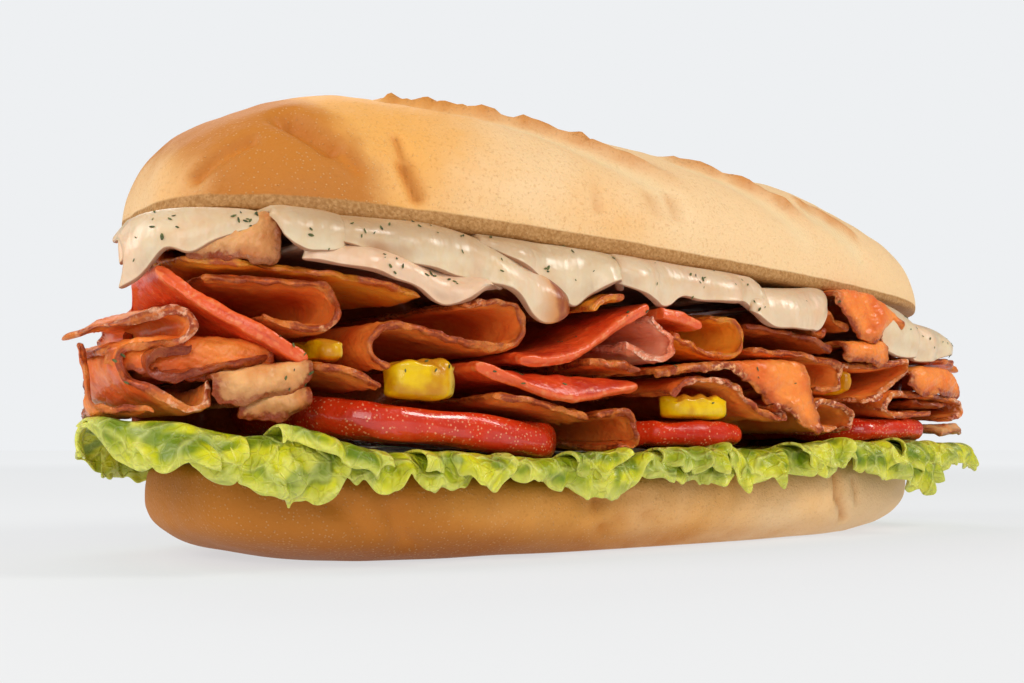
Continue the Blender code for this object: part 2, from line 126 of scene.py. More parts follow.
class Look:
    """A material and the nodes that make its colour, roughness and bumps."""

    def __init__(self, name, **fixed):
        self.material = bpy.data.materials.new(name)
        self.material.use_nodes = True
        self.tree = self.material.node_tree
        self.shader = self.tree.nodes["Principled BSDF"]
        for title, number in fixed.items():
            self.shader.inputs[title.replace("_", " ")].default_value = number
        self.where = self.node("ShaderNodeTexCoord", {}, {}, "Object")

    def node(self, kind, settings, inputs, output=0):
        made = self.tree.nodes.new(kind)
        for title, setting in settings.items():
            setattr(made, title, setting)
        for title, given in inputs.items():
            if isinstance(given, Value):
                self.tree.links.new(given.socket, made.inputs[title])
            else:
                made.inputs[title].default_value = given
        return Value(self, made.outputs[output])

    def feed(self, title, value):
        self.tree.links.new(value.socket, self.shader.inputs[title])

    def stretched(self, scale):
        return self.node("ShaderNodeMapping", {}, {"Vector": self.where, "Scale": scale})

    def noise(self, size_mm, detail=3.0, where=None):
        """A soft random pattern whose patches are about size_mm across."""
        inputs = {"Vector": where or self.where, "Scale": 1000.0 / size_mm, "Detail": detail}
        return self.node("ShaderNodeTexNoise", {}, inputs, "Fac")

    def cells(self, size_mm):
        """Distance from the nearest of many scattered points, in cells."""
        return self.node("ShaderNodeTexVoronoi", {}, {"Vector": self.where, "Scale": 1000.0 / size_mm})

    def spread(self, value, low, high):
        """0 below low, 1 above high, smooth between; low may be the larger one."""
        names = {"Value": value, "From Min": low, "From Max": high}
        return self.node("ShaderNodeMapRange", {"interpolation_type": "SMOOTHSTEP"}, names)

    def along(self, axis):
        """An object coordinate in millimetres."""
        split = self.node("ShaderNodeSeparateXYZ", {}, {0: self.where}, axis)
        return split * 1000.0

    def facing(self, axis):
        """How far the surface faces along an axis, -1 to 1."""
        normal = self.node("ShaderNodeNewGeometry", {}, {}, "Normal")
        return self.node("ShaderNodeSeparateXYZ", {}, {0: normal}, axis)

    def painted(self, name):
        """A number stored on the mesh's points."""
        return self.node("ShaderNodeAttribute", {"attribute_name": name}, {}, "Fac")

    def blend(self, share, low, high):
        """A colour between two colours."""
        made = self.tree.nodes.new("ShaderNodeMix")
        made.data_type = "RGBA"
        for place, given in ((0, share), (6, low), (7, high)):
            if isinstance(given, Value):
                self.tree.links.new(given.socket, made.inputs[place])
            else:
                made.inputs[place].default_value = given if place == 0 else (*given, 1.0)
        return Value(self, made.outputs[2])

    def tint(self, colour, other, value, low, high, most=1.0):
        """The colour, turned to the other one as value goes from low to high; most is the largest share."""
        return self.blend(self.spread(value, low, high) * most, colour, other)

    def bump(self, height_mm):
        """Turns a height in millimetres into the shading of small bumps."""
        inputs = {"Height": height_mm * MM, "Strength": 1.0, "Distance": 1.0}
        self.feed("Normal", self.node("ShaderNodeBump", {}, inputs, "Normal"))


# %% [markdown]
# ## Ground and light
# The ground is one pale sheet that runs into a background of the same tone, so no horizon shows. A white
# plane under lamps is never as even as that, so most of its light is its own and the rest is lit, which
# leaves a soft shadow under the roll. The lamps are large panels: the key stands high on the right, in
# front of the sandwich, and gives the wet slices their white glints.

# %% Ground
BACKGROUND = (0.855, 0.871, 0.888)
GROUND_SIZE = 14.0
GROUND_GLOW = 0.69
FAR_GLOW = 0.90
GLOW_FROM = 0.28
GLOW_TO = 1.5

bpy.ops.object.select_all(action="DESELECT")
bpy.ops.mesh.primitive_plane_add(size=GROUND_SIZE, location=(0.0, 0.0, 0.0))
ground = bpy.context.object
ground.name = "ground"
paper = Look("ground_paper", Roughness=0.9, Specular_IOR_Level=0.0, Emission_Strength=1.0,
             Base_Color=(0.26, 0.265, 0.27, 1.0))
out_x = paper.along("X") * MM
out_y = paper.along("Y") * MM
away = (out_x * out_x + out_y * out_y) ** 0.5
near_glow = tuple(GROUND_GLOW * part for part in BACKGROUND)
far_glow = tuple(FAR_GLOW * part for part in BACKGROUND)
paper.feed("Emission Color", paper.tint(near_glow, far_glow, away, GLOW_FROM, GLOW_TO))
ground.data.materials.append(paper.material)

# %% Light
AIR_LIGHT = 0.26
AIR_COLOUR = (1.0, 0.96, 0.90, 1.0)
TARGET = Vector((0.0, 0.0, 0.045))

world = bpy.data.worlds.new("studio")
scene.world = world
world.use_nodes = True
air = world.node_tree
seen = air.nodes["Background"]
seen.inputs["Color"].default_value = (*BACKGROUND, 1.0)
lit = air.nodes.new("ShaderNodeBackground")
lit.inputs["Color"].default_value = AIR_COLOUR
lit.inputs["Strength"].default_value = AIR_LIGHT
path = air.nodes.new("ShaderNodeLightPath")
choice = air.nodes.new("ShaderNodeMixShader")
air.links.new(path.outputs["Is Camera Ray"], choice.inputs[0])
air.links.new(lit.outputs[0], choice.inputs[1])
air.links.new(seen.outputs[0], choice.inputs[2])
air.links.new(choice.outputs[0], air.nodes["World Output"].inputs["Surface"])
scene.view_settings.view_transform = "Standard"


def panel(name, place, size, power, colour):
    """A square lamp that faces the sandwich."""
    lamp = bpy.data.lights.new(name, "AREA")
    lamp.shape = "RECTANGLE"
    lamp.size, lamp.size_y = size
    lamp.energy = power
    lamp.color = colour
    holder = bpy.data.objects.new(name, lamp)
    holder.location = place
    holder.rotation_euler = (TARGET - Vector(place)).to_track_quat("-Z", "Y").to_euler()
    scene.collection.objects.link(holder)


panel("key_panel", (0.45, -0.62, 0.62), (0.30, 0.30), 4.4, (1.0, 0.97, 0.92))
panel("front_panel", (-0.50, -0.75, 0.30), (0.5, 0.4), 2.6, (1.0, 0.98, 0.96))
panel("left_panel", (-0.62, 0.10, 0.40), (0.3, 0.4), 2.4, (1.0, 0.98, 0.95))
panel("back_panel", (0.10, 0.60, 0.65), (0.6, 0.4), 1.8, (1.0, 0.98, 0.95))

# %% [markdown]
# ## Fine copies of the solids
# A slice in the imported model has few, long faces. On the real sandwich its long edges are frilled and its
# thickness changes, so it needs many small faces, most of them near the edge that shows. It could be
# sculpted, but a copy of the solid keeps every fold in its place: its doubles are merged, its triangles
# are paired, the long faces are cut into rows that crowd towards both edges, and Subdivision Surface
# rounds it. The distance from the slice's own edge is kept on the points, for shape and colour alike.

# %% Helpers for fine copies
FILL_CENTRE = 3.0
FILL_HALF_LENGTH = 118.5
FILL_HALF_WIDTH = 40.0
FILL_PLAN_POWER = 3.2
LEAST_DEPTH = 10.0
FRONT_BAND = 4.6
ROW_CUTS = 11
ROW_CROWDING = 2.2
LONG_EDGE = 7.0
RIM_ANGLE = 50.0
RIM_SPACING = 0.5
DOUBLES_WITHIN = 0.000001
PAIR_FACES = math.radians(50.0)
PAIR_SHAPES = math.radians(75.0)


def front_depth(x):
    """Distance in millimetres from the middle plane to the filling's front, at places x along the roll."""
    share = np.minimum(np.abs(x - FILL_CENTRE) / FILL_HALF_LENGTH, 1.0)
    depth = FILL_HALF_WIDTH * (1.0 - share**FILL_PLAN_POWER) ** (1.0 / FILL_PLAN_POWER)
    return np.maximum(depth, LEAST_DEPTH)


def smooth(value, low=0.0, high=1.0):
    held = np.clip((value - low) / (high - low), 0.0, 1.0)
    return held * held * (3.0 - 2.0 * held)


def bell(value):
    return np.exp(-value * value)


def points_of(mesh):
    """The places of a mesh's points in millimetres, one row each."""
    flat = np.empty(len(mesh.vertices) * 3)
    mesh.vertices.foreach_get("co", flat)
    return flat.reshape(-1, 3) / MM


def move_points(mesh, places):
    mesh.vertices.foreach_set("co", (places * MM).ravel())
    mesh.update()


def normals_of(mesh):
    flat = np.empty(len(mesh.vertices) * 3)
    mesh.vertex_normals.foreach_get("vector", flat)
    return flat.reshape(-1, 3)


def push_out(piece, heights):
    """Moves each point along its normal, in millimetres."""
    move_points(piece.data, points_of(piece.data) + normals_of(piece.data) * heights[:, None])


def store(piece, name, numbers):
    """Keeps a number on each point, for a material to read."""
    piece.data.attributes.new(name, "FLOAT", "POINT").data.foreach_set("value", numbers)


def ripple(places, wave, seed, waves=5):
    """A smooth random number between about -1 and 1 for each place; wave is its usual wavelength."""
    chance = np.random.default_rng(seed)
    total = np.zeros(len(places))
    for _ in range(waves):
        way = chance.normal(size=3)
        way /= np.linalg.norm(way)
        length = wave * chance.uniform(0.7, 1.5)
        total += np.sin(places @ way * 2.0 * math.pi / length + chance.uniform(0.0, 6.3))
    return total / math.sqrt(waves)


def only(piece):
    bpy.ops.object.select_all(action="DESELECT")
    bpy.context.view_layer.objects.active = piece
    piece.select_set(True)


def copied(node_name):
    """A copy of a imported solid, its doubles merged and its triangles paired."""
    piece = bpy.data.objects.new("fine_" + node_name, frame["nodes"][node_name].data.copy())
    scene.collection.objects.link(piece)
    piece.data.materials.clear()
    only(piece)
    bpy.ops.mesh.customdata_custom_splitnormals_clear()
    bpy.ops.object.mode_set(mode="EDIT")
    bpy.ops.mesh.select_all(action="SELECT")
    bpy.ops.mesh.remove_doubles(threshold=DOUBLES_WITHIN)
    bpy.ops.mesh.tris_convert_to_quads(face_threshold=PAIR_FACES, shape_threshold=PAIR_SHAPES)
    bpy.ops.object.mode_set(mode="OBJECT")
    return piece


def new_grid(name, columns, rows):
    """A flat grid, and how far each of its points lies along it and down it, 0 to 1."""
    bpy.ops.object.select_all(action="DESELECT")
    bpy.ops.mesh.primitive_grid_add(x_subdivisions=columns, y_subdivisions=rows, size=2.0)
    piece = bpy.context.object
    piece.name = name
    grid = points_of(piece.data) * MM
    return piece, 0.5 * (grid[:, 0] + 1.0), 0.5 * (grid[:, 1] + 1.0)


def rim_tree(mesh):
    """Points along the sharp edges of a sheet, in a tree for finding the nearest."""
    shape = bmesh.new()
    shape.from_mesh(mesh)
    samples = []
    for edge in shape.edges:
        if len(edge.link_faces) == 2 and math.degrees(edge.calc_face_angle()) > RIM_ANGLE:
            steps = max(1, round(edge.calc_length() / MM / RIM_SPACING))
            first, last = edge.verts[0].co, edge.verts[1].co
            samples += [first.lerp(last, step / steps) for step in range(steps + 1)]
    shape.free()
    tree = kdtree.KDTree(len(samples))
    for number, place in enumerate(samples):
        tree.insert(place, number)
    tree.balance()
    return tree


def cut_rows(piece):
    """Cuts the long faces of a sheet into rows, closer together towards its two long edges."""
    mesh = piece.data
    places = points_of(mesh)
    inside = places[:, 1] + front_depth(places[:, 0])
    ends = np.array([edge.vertices[:] for edge in mesh.edges])
    lengths = np.linalg.norm(places[ends[:, 0]] - places[ends[:, 1]], axis=1)
    near = inside[ends] < FRONT_BAND
    long_ones = (near[:, 0] != near[:, 1]) & (lengths > LONG_EDGE)
    share = np.zeros(len(places))
    front = places.copy()
    back = places.copy()
    for first, last in ends[long_ones]:
        if inside[first] > inside[last]:
            first, last = last, first
        share[last] = 1.0
        front[last] = places[first]
        back[first] = places[last]
    rows = (("share", "FLOAT", "value", share), ("front_end", "FLOAT_VECTOR", "vector", front),
            ("back_end", "FLOAT_VECTOR", "vector", back))
    for name, kind, field, numbers in rows:
        mesh.attributes.new(name, kind, "POINT").data.foreach_set(field, numbers.ravel())
    only(piece)
    bpy.ops.object.mode_set(mode="EDIT")
    bpy.ops.mesh.select_all(action="DESELECT")
    bpy.ops.object.mode_set(mode="OBJECT")
    mesh.edges.foreach_set("select", long_ones)
    bpy.ops.object.mode_set(mode="EDIT")
    bpy.ops.mesh.select_mode(type="EDGE")
    bpy.ops.mesh.subdivide(number_cuts=ROW_CUTS)
    bpy.ops.object.mode_set(mode="OBJECT")
    grown = []
    for name, kind, field, numbers in rows:
        more = np.empty((len(mesh.vertices), *numbers.shape[1:]))
        mesh.attributes[name].data.foreach_get(field, more.ravel())
        grown.append(more)
        mesh.attributes.remove(mesh.attributes[name])
    share, front, back = grown
    between = (share > 0.01) & (share < 0.99)
    half = 0.5 * np.power(2.0 * np.minimum(share, 1.0 - share), ROW_CROWDING)
    crowded = np.where(share < 0.5, half, 1.0 - half)[:, None]
    places = points_of(mesh)
    places[between] = (front + (back - front) * crowded)[between]
    move_points(mesh, places)


def round_off(piece, levels):
    """Subdivision Surface, applied."""
    only(piece)
    finer = piece.modifiers.new("Finer", "SUBSURF")
    finer.levels = levels
    finer.render_levels = levels
    bpy.ops.object.modifier_apply(modifier=finer.name)


def thicken(piece, thickness, offset=0.0):
    """Solidify, applied; thickness in millimetres."""
    skin = piece.modifiers.new("Thickness", "SOLIDIFY")
    skin.thickness = thickness * MM
    skin.offset = offset
    bpy.ops.object.modifier_apply(modifier=skin.name)


def fine_sheet(node_name, levels=2):
    """A fine copy of a folded sheet, with the distance from its edge kept as rim, in millimetres."""
    piece = copied(node_name)
    tree = rim_tree(piece.data)
    cut_rows(piece)
    round_off(piece, levels)
    distance = np.array([tree.find(point.co)[2] / MM for point in piece.data.vertices])
    store(piece, "rim", distance)
    return piece, distance


def finish_piece(piece, look, node_name=None):
    """Gives a piece its material and, where it has a solid, puts it in the solid's place."""
    mesh = piece.data
    mesh.materials.append(look.material)
    mesh.polygons.foreach_set("use_smooth", np.ones(len(mesh.polygons), dtype=bool))
    mesh.update()
    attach(piece, "root")
    if node_name in frame["nodes"]:
        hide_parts(node_name)


# %% Helpers for hanging edges
# The back edge's depth at the left end, and how much it grows for each millimetre along the roll.
LOW_CORNER = (-1.0, 3.4)
HIGH_CORNER = (-27.0, 3.05)
LEFT_END = -110.0
DRAWN_IN = (42.0, 46.0)
NARROWEST = 3.0
BREAD_RIM = 58.7
RIM_FALL = 0.031


def bread_rim(x):
    """Height of the upper bread's lower rim, which sinks to the right."""
    return BREAD_RIM - RIM_FALL * x


def back_edge(x, z, depth):
    """Depth at the back, drawn in at the left end as in the solids."""
    upper = smooth(z, *DRAWN_IN)
    low = LOW_CORNER[0] + LOW_CORNER[1] * (x - LEFT_END)
    high = HIGH_CORNER[0] + HIGH_CORNER[1] * (x - LEFT_END)
    return np.maximum(np.minimum(depth, low + (high - low) * upper), NARROWEST - depth)


def through(knots, column, x):
    """A smooth line through the knots' column, at places x."""
    table = np.array(knots, dtype=float)
    places, heights = table[:, 0], table[:, column]
    slopes = np.gradient(heights, places)
    number = np.clip(np.searchsorted(places, x) - 1, 0, len(places) - 2)
    width = places[number + 1] - places[number]
    t = (x - places[number]) / width
    low, high = heights[number], heights[number + 1]
    first, last = slopes[number] * width, slopes[number + 1] * width
    return ((2 * t**3 - 3 * t**2 + 1) * low + (t**3 - 2 * t**2 + t) * first
            + (-2 * t**3 + 3 * t**2) * high + (t**3 - t**2) * last)


def apron_grid(name, knots, spacing, rows, least=1):
    """A flat grid for a sheet that follows rows of heights.

    Returns the piece and, for each point, its place along the roll, how far down the sheet it lies, the
    heights of the bend and the lower edge there, and its distance from the nearer end.
    """
    start, end = knots[0][0], knots[-1][0]
    piece, share, down = new_grid(name, max(least, round((end - start) / spacing)), rows)
    x = start + (end - start) * share
    return piece, x, down, through(knots, 1, x), through(knots, 2, x), np.minimum(x - start, end - x)


# %% [markdown]
# ## Roast slices
# Thin slices of roast poultry: orange-tan and moist on the flat, with a browned rind 1 to 2 mm wide all
# round, here and there frilled and pale pink. The colour could be painted by hand, but the distance from
# the edge is already on the points, so one formula browns every slice, and noise breaks it up. The same
# distance darkens the flat farther in from its edge, as painted shade.


# %% Roast materials
def roast_look(name, face, shade, dark, pale, frill=0.5, wet=0.2, tanned=1.0):
    """The material of a roast slice: its flat, painted shade deeper inside it, its dark rind and its pale
    frill.
    """
    look = Look(name, Coat_Weight=wet, Coat_Roughness=0.18, Specular_IOR_Level=0.22,
                Subsurface_Weight=0.3, Subsurface_Radius=(0.004, 0.0014, 0.0006))
    rim = look.painted("rim")
    patch = look.noise(9.0, 4.0)
    grain = look.noise(1.6, 3.0, look.stretched((1.0, 0.3, 1.0)))
    fleck = look.noise(0.9, 2.0)
    flat = look.tint(face, shade, patch, 0.40, 0.70)
    flat = look.tint(flat, shade, grain, 0.55, 0.8, 0.12)
    # Painted shade: the flat darkens farther in from the slice's edge, deeper in the food.
    flat = look.tint(flat, shade, rim, 6.0, 22.0, 0.6)
    wander = (patch - 0.5) * 1.6 + (fleck - 0.5)
    flat = look.tint(flat, dark, rim + wander, 2.0, 0.5, 0.5)
    rind = look.spread(rim + (fleck - 0.5) * 0.9, 0.95, 0.5)
    deep_face = tuple(part * fade for part, fade in zip(face, (0.72, 0.7, 0.7)))
    tan = look.tint(dark, deep_face, look.noise(5.0, 3.0), 0.44, 0.62, tanned)
    paleness = look.spread(look.noise(13.0, 1.0), 0.62 - 0.25 * frill, 0.78 - 0.25 * frill)
    frilled = look.tint(tan, pale, look.noise(1.1, 3.0), 0.46, 0.62, paleness)
    look.feed("Base Color", look.blend(rind, flat, frilled))
    look.feed("Roughness", 0.14 + patch * 0.34 + fleck * 0.14)
    look.bump((patch - 0.5) * 0.6 + (grain - 0.5) * 0.22 + (fleck - 0.5) * (0.2 + rind * 0.4))
    return look


ROAST = roast_look("roast", (0.94, 0.28, 0.048), (0.76, 0.135, 0.018), (0.32, 0.048, 0.009),
                   (0.86, 0.40, 0.17), frill=0.3, wet=0.14)
ROAST_PINK = roast_look("roast_frilled", (0.94, 0.29, 0.05), (0.76, 0.14, 0.02), (0.34, 0.05, 0.012),
                        (0.88, 0.46, 0.27), frill=0.8, wet=0.14)
ROAST_PALE = roast_look("roast_pale", (0.80, 0.42, 0.16), (0.62, 0.20, 0.045), (0.30, 0.05, 0.010),
                        (0.80, 0.42, 0.20), frill=0.1, wet=0.14, tanned=0.3)
ROAST_AMBER = roast_look("roast_amber", (1.0, 0.36, 0.03), (0.90, 0.21, 0.012), (0.46, 0.08, 0.010),
                         (0.92, 0.42, 0.12), frill=0.2, wet=0.3)
# A darker roast; on the inner folds its darkness is painted shade.
ROAST_DARK = roast_look("roast_dark", (0.54, 0.12, 0.018), (0.32, 0.045, 0.008), (0.24, 0.030, 0.006),
                        (0.66, 0.24, 0.10), frill=0.1, wet=0.25)
HAM = roast_look("ham", (0.94, 0.38, 0.22), (0.86, 0.24, 0.10), (0.76, 0.20, 0.09), (0.92, 0.52, 0.36),
                 frill=0.8)

# %% Roast slices
ROAST_LOOKS = {
    "turkey_tip_fold": ROAST_PINK, "turkey_arch": ROAST_PINK, "turkey_open_fold": ROAST_PINK,
    "turkey_curl": ROAST_PINK, "turkey_low_roll": ROAST_PINK, "turkey_flat_roll": ROAST_PALE,
    "turkey_low_slice": ROAST_PALE, "turkey_roll_edge": ROAST_PALE, "turkey_amber_bump": ROAST_AMBER,
    "turkey_amber_loop": ROAST_AMBER, "turkey_gold_strip": ROAST_AMBER, "turkey_stack_upper": ROAST_DARK,
    "turkey_dark_edge": ROAST_DARK, "turkey_right_middle": ROAST_DARK, "turkey_right_lower": ROAST_PALE,
    "ham_fan": HAM,
}
# How far from its edge a slice waves, how much thinner the edge is and how far in that reaches.
EDGE_REACH = 5.0
THIN_EDGE = 0.28
THIN_REACH = 1.6
# Slices whose front edge stands further out than in the solid.
FORWARD = {"turkey_amber_bump": 3.0, "turkey_gold_strip": 1.0}

# Slices whose flat hangs over the front: how far it stands out, how far it leans to the right as it
# falls, and rows of the place along the roll, the height of the bend and the height of the hem.
FLAPS = {
    "turkey_roll_edge": (-0.2, 0.0, (
        (-102, 54, 51.2), (-98, 56, 50.8), (-94, 57.2, 50.5), (-90.5, 58.4, 50.6), (-88.2, 59, 51.2))),
    "turkey_flat_roll": (0.4, 0.0, (
        (-98.6, 32.0, 29.4), (-97, 32.3, 27.9), (-93.6, 33.0, 27.8), (-89, 33.9, 29.2),
        (-84.6, 34.5, 30.8), (-83.2, 34.6, 32.6))),
    "turkey_low_slice": (-1.0, 0.0, (
        (-94.2, 27.6, 25.6), (-91.5, 28.7, 25.2), (-88, 29.7, 25.5), (-85, 30.4, 26.2),
        (-83.2, 30.3, 27.6))),
    "turkey_big_flap": (1.0, 0.0, (
        (41, 54.6, 53.2), (43.5, 55.4, 51.2), (46, 55.6, 48.6), (51, 55.6, 44.9), (55, 55.2, 44.5),
        (58.5, 54, 46), (62.5, 52, 47.8), (66, 50.2, 48.8))),
    "turkey_dark_flap": (0.5, 0.0, (
        (43.4, 43.9, 40.4), (50, 44.3, 39.9), (56, 44.7, 39.6), (59.8, 44.8, 39.6), (61.8, 44.2, 40.8))),
    "turkey_front_flap": (0.3, 0.35, (
        (-13.2, 35.4, 34.5), (0, 37.2, 36.2), (9, 37.9, 36.2), (13, 38.2, 34.6), (18, 38.6, 31.4),
        (22, 38.9, 28.6), (25.5, 39, 26.2), (29, 39, 23.8), (31.4, 38.8, 24.2))),
    "turkey_right_flap": (0.5, 0.0, (
        (71.5, 38.2, 35.8), (75, 39.4, 33.9), (84, 40, 34), (91, 39.8, 33.9), (96, 38.2, 33.4),
        (99, 35.6, 33.2))),
    "tip_fold_face": (-3.4, 0.0, (
        (-111.4, 36.2, 34.6), (-108, 37.8, 32.8), (-104.5, 38.2, 31.8), (-99, 38.4, 31.6), (-93, 38, 32),
        (-88, 36.8, 33))),
}
FLAP_THICK = 0.95
FLAP_SPACING = 0.5
FLAP_ROWS = 46
FLAP_COLUMNS = 30
# Share of the grid that lies on the food, and how late the rest of it turns down.
FLAP_FLAT = 0.4
HEM_POWER = 1.3
FLAP_INSET = 3.0
LEAST_RUN = 6.0

meats = [name for name in frame["nodes"] if name.startswith("turkey_") or name == "ham_fan"]
meats = [name for name in meats if name not in FLAPS]
roast_faces = 0
for number, name in enumerate(sorted(meats)):
    piece, rim = fine_sheet(name, 1 if name == "ham_fan" else 2)
    places = points_of(piece.data)
    outward = normals_of(piece.data)
    loose = np.exp(-rim / EDGE_REACH)[:, None]
    wave = np.stack([
        0.3 * ripple(places, 12.0, number),
        0.9 * ripple(places, 14.0, number + 100) + 0.5 * ripple(places, 4.0, number + 200),
        0.5 * ripple(places, 15.0, number + 300) + 0.2 * ripple(places, 3.5, number + 400),
    ], axis=1)
    uneven = 0.10 * ripple(places, 3.0, number + 500) + 0.05 * ripple(places, 1.2, number + 600)
    uneven -= THIN_EDGE * np.exp(-rim / THIN_REACH)
    wave[:, 1] -= FORWARD.get(name, 0.0)
    move_points(piece.data, places + wave * loose + outward * uneven[:, None])
    finish_piece(piece, ROAST_LOOKS.get(name, ROAST), name)
    roast_faces += len(piece.data.polygons)
print("roast slices:", len(meats), "faces:", roast_faces)


# %% [markdown]
# ## Hanging flaps
# Some slices fold over the front and hang down like a small curtain with a browned hem. The hem could be
# pulled out of the solid's copy, but its few faces give no fine line. So a flat grid is bent over the
# food: rows of heights, written down along the roll, say where it bends and where its hem ends. The
# cheese and the leaves are made the same way.


# %% Hanging flaps
def roast_flap(name, proud, slant, knots, seed):
    """A slice that runs through the food and whose flat hangs over the front like a small curtain."""
    piece, x, down, top, low, side = apron_grid(
        "fine_" + name, knots, FLAP_SPACING, FLAP_ROWS, FLAP_COLUMNS)
    inside = np.clip(1.0 - down / FLAP_FLAT, 0.0, 1.0)
    over = np.clip((down - FLAP_FLAT) / (1.0 - FLAP_FLAT), 0.0, 1.0)
    z = top - (top - low) * over**HEM_POWER
    depth = front_depth(x)
    run = np.maximum(back_edge(x, top, depth) - FLAP_INSET + depth, LEAST_RUN)
    y = 1.2 * np.exp(-over * 9.0) - depth - proud - 0.5 * np.sin(math.pi * over) ** 0.8 + run * inside
    plan = np.stack([x, z, y * 0.3], axis=1)
    y -= over * 0.9 * ripple(plan, 9.0, seed) + over**4 * 0.4 * ripple(plan, 2.8, seed + 4)
    z += 0.3 * ripple(plan, 5.0, seed + 1) * over + over**4 * 0.25 * ripple(plan, 1.9, seed + 5)
    share = (x - knots[0][0]) / (knots[-1][0] - knots[0][0])
    x = x + slant * (top - z) * smooth(share, 0.4, 1.0)
    move_points(piece.data, np.stack([x, y, z], axis=1))
    from_hem = (top - low) * (1.0 - over**HEM_POWER) + run * inside
    store(piece, "rim", 0.6 * np.minimum(side, from_hem) + 0.15)
    thicken(piece, FLAP_THICK)
    round_off(piece, 1)
    places = points_of(piece.data)
    push_out(piece, 0.12 * ripple(places, 3.0, seed + 2) + 0.06 * ripple(places, 1.3, seed + 3))
    return piece


for number, (name, (proud, slant, knots)) in enumerate(FLAPS.items()):
    piece = roast_flap(name, proud, slant, knots, number + 700)
    finish_piece(piece, ROAST_LOOKS.get(name, ROAST), name)
print("hanging flaps:", len(FLAPS))

# %% [markdown]
# ## Inner folds
# Between the slices that show at the side the real food is packed with more of the same meat, so no light
# comes through the gaps. One long crumpled slice that stands on edge in the middle of the food closes
# them; its dark roast colour is painted shade, which makes the gaps look dark red-brown. It starts as a
# flat grid and is waved in plan.

# %% Inner folds
INNER_COLUMNS = 220
INNER_ROWS = 24
INNER_LOW = 20.5
INNER_TOP = 55.6
INNER_START = -95.0
INNER_LENGTH = 190.0
INNER_LEFT = -101.0
INNER_RIGHT = 94.0
INNER_THICK = 1.6
FAR_FROM_EDGE = 12.0


def inner_place(share, level):
    """A point of the inner slice: share runs along the roll, level up the food, both 0 to 1."""
    top = INNER_TOP - RIM_FALL * (INNER_START + INNER_LENGTH * share)
    z = INNER_LOW + (top - INNER_LOW) * level
    left = INNER_LEFT + 5.0 * smooth(z, 40.0, 46.0)
    right = INNER_RIGHT - 42.0 * smooth(z, 45.5, 55.5)
    x = left + (right - left) * share
    inward = smooth(x, -110.0, -94.0)
    swing = 4.0 * inward * np.sin(x / 3.6 + 2.0 * np.sin(z / 9.0)) + 1.5 * np.sin(z / 3.0 + x / 8.0)
    y = -11.0 + 15.0 * inward + swing - 20.0 * smooth(x, 62.0, 96.0)
    return np.stack([x, y, z], axis=1)


inner, share, level = new_grid("inner_folds", INNER_COLUMNS, INNER_ROWS)
move_points(inner.data, inner_place(share, level))
thicken(inner, INNER_THICK, -1.0)
# Painted shade: the inner slice counts as far from any edge, so the roast's shade tint darkens it as well.
store(inner, "rim", np.full(len(inner.data.vertices), FAR_FROM_EDGE))
finish_piece(inner, ROAST_DARK)
print("inner folds, faces:", len(inner.data.polygons))

# %% [markdown]
# ## Cured sausage
# Thick slices of cured sausage: bright orange-red, with a paler, speckled cut edge and an oily top. They
# are stiffer than the roast, so they keep their form and only get small dents.

# %% Cured sausage
sausage = Look("cured_sausage", Coat_Weight=0.07, Coat_Roughness=0.12,
               Subsurface_Weight=0.2, Subsurface_Radius=(0.003, 0.0008, 0.0005))
rim = sausage.painted("rim")
patch = sausage.noise(7.0, 4.0)
fleck = sausage.noise(1.3, 3.0)
body = sausage.tint((0.76, 0.070, 0.010), (0.54, 0.030, 0.007), patch, 0.38, 0.66)
body = sausage.tint(body, (0.88, 0.24, 0.06), fleck, 0.60, 0.72, 0.5)
cut = sausage.tint((0.80, 0.11, 0.018), (0.90, 0.30, 0.10), fleck, 0.50, 0.68, 0.5)
sausage.feed("Base Color", sausage.tint(body, cut, rim + (patch - 0.5), 1.5, 0.7))
sausage.feed("Roughness", 0.22 + fleck * 0.25)
sausage.bump((patch - 0.5) * 0.5 + (fleck - 0.5) * 0.3)

SAUSAGES = ("salami_slope", "salami_short", "salami_rise", "salami_bowl")
SAUSAGE_REACH = 6.0

for number, name in enumerate(SAUSAGES):
    piece, rim = fine_sheet(name)
    places = points_of(piece.data)
    outward = normals_of(piece.data)
    loose = np.exp(-rim / SAUSAGE_REACH)[:, None]
    wave = np.stack([
        np.zeros(len(places)),
        0.6 * ripple(places, 16.0, number + 20),
        0.3 * ripple(places, 18.0, number + 30),
    ], axis=1)
    uneven = 0.12 * ripple(places, 5.0, number + 40) + 0.05 * ripple(places, 1.6, number + 50)
    move_points(piece.data, places + wave * loose + outward * uneven[:, None])
    finish_piece(piece, sausage, name)
print("sausage slices:", len(SAUSAGES))

# %% [markdown]
# ## Melted cheese
# Slices of white cheese that have melted over the meat: creamy, a little see-through, with round soft
# edges, and pink where the meat shows through. A cloth simulation would drape them, but rows of heights
# keep the outline in hand. Melted edges swell, so the sheet is pushed out near its lower edge, and the
# overhang is drawn into broad folds that catch the light.

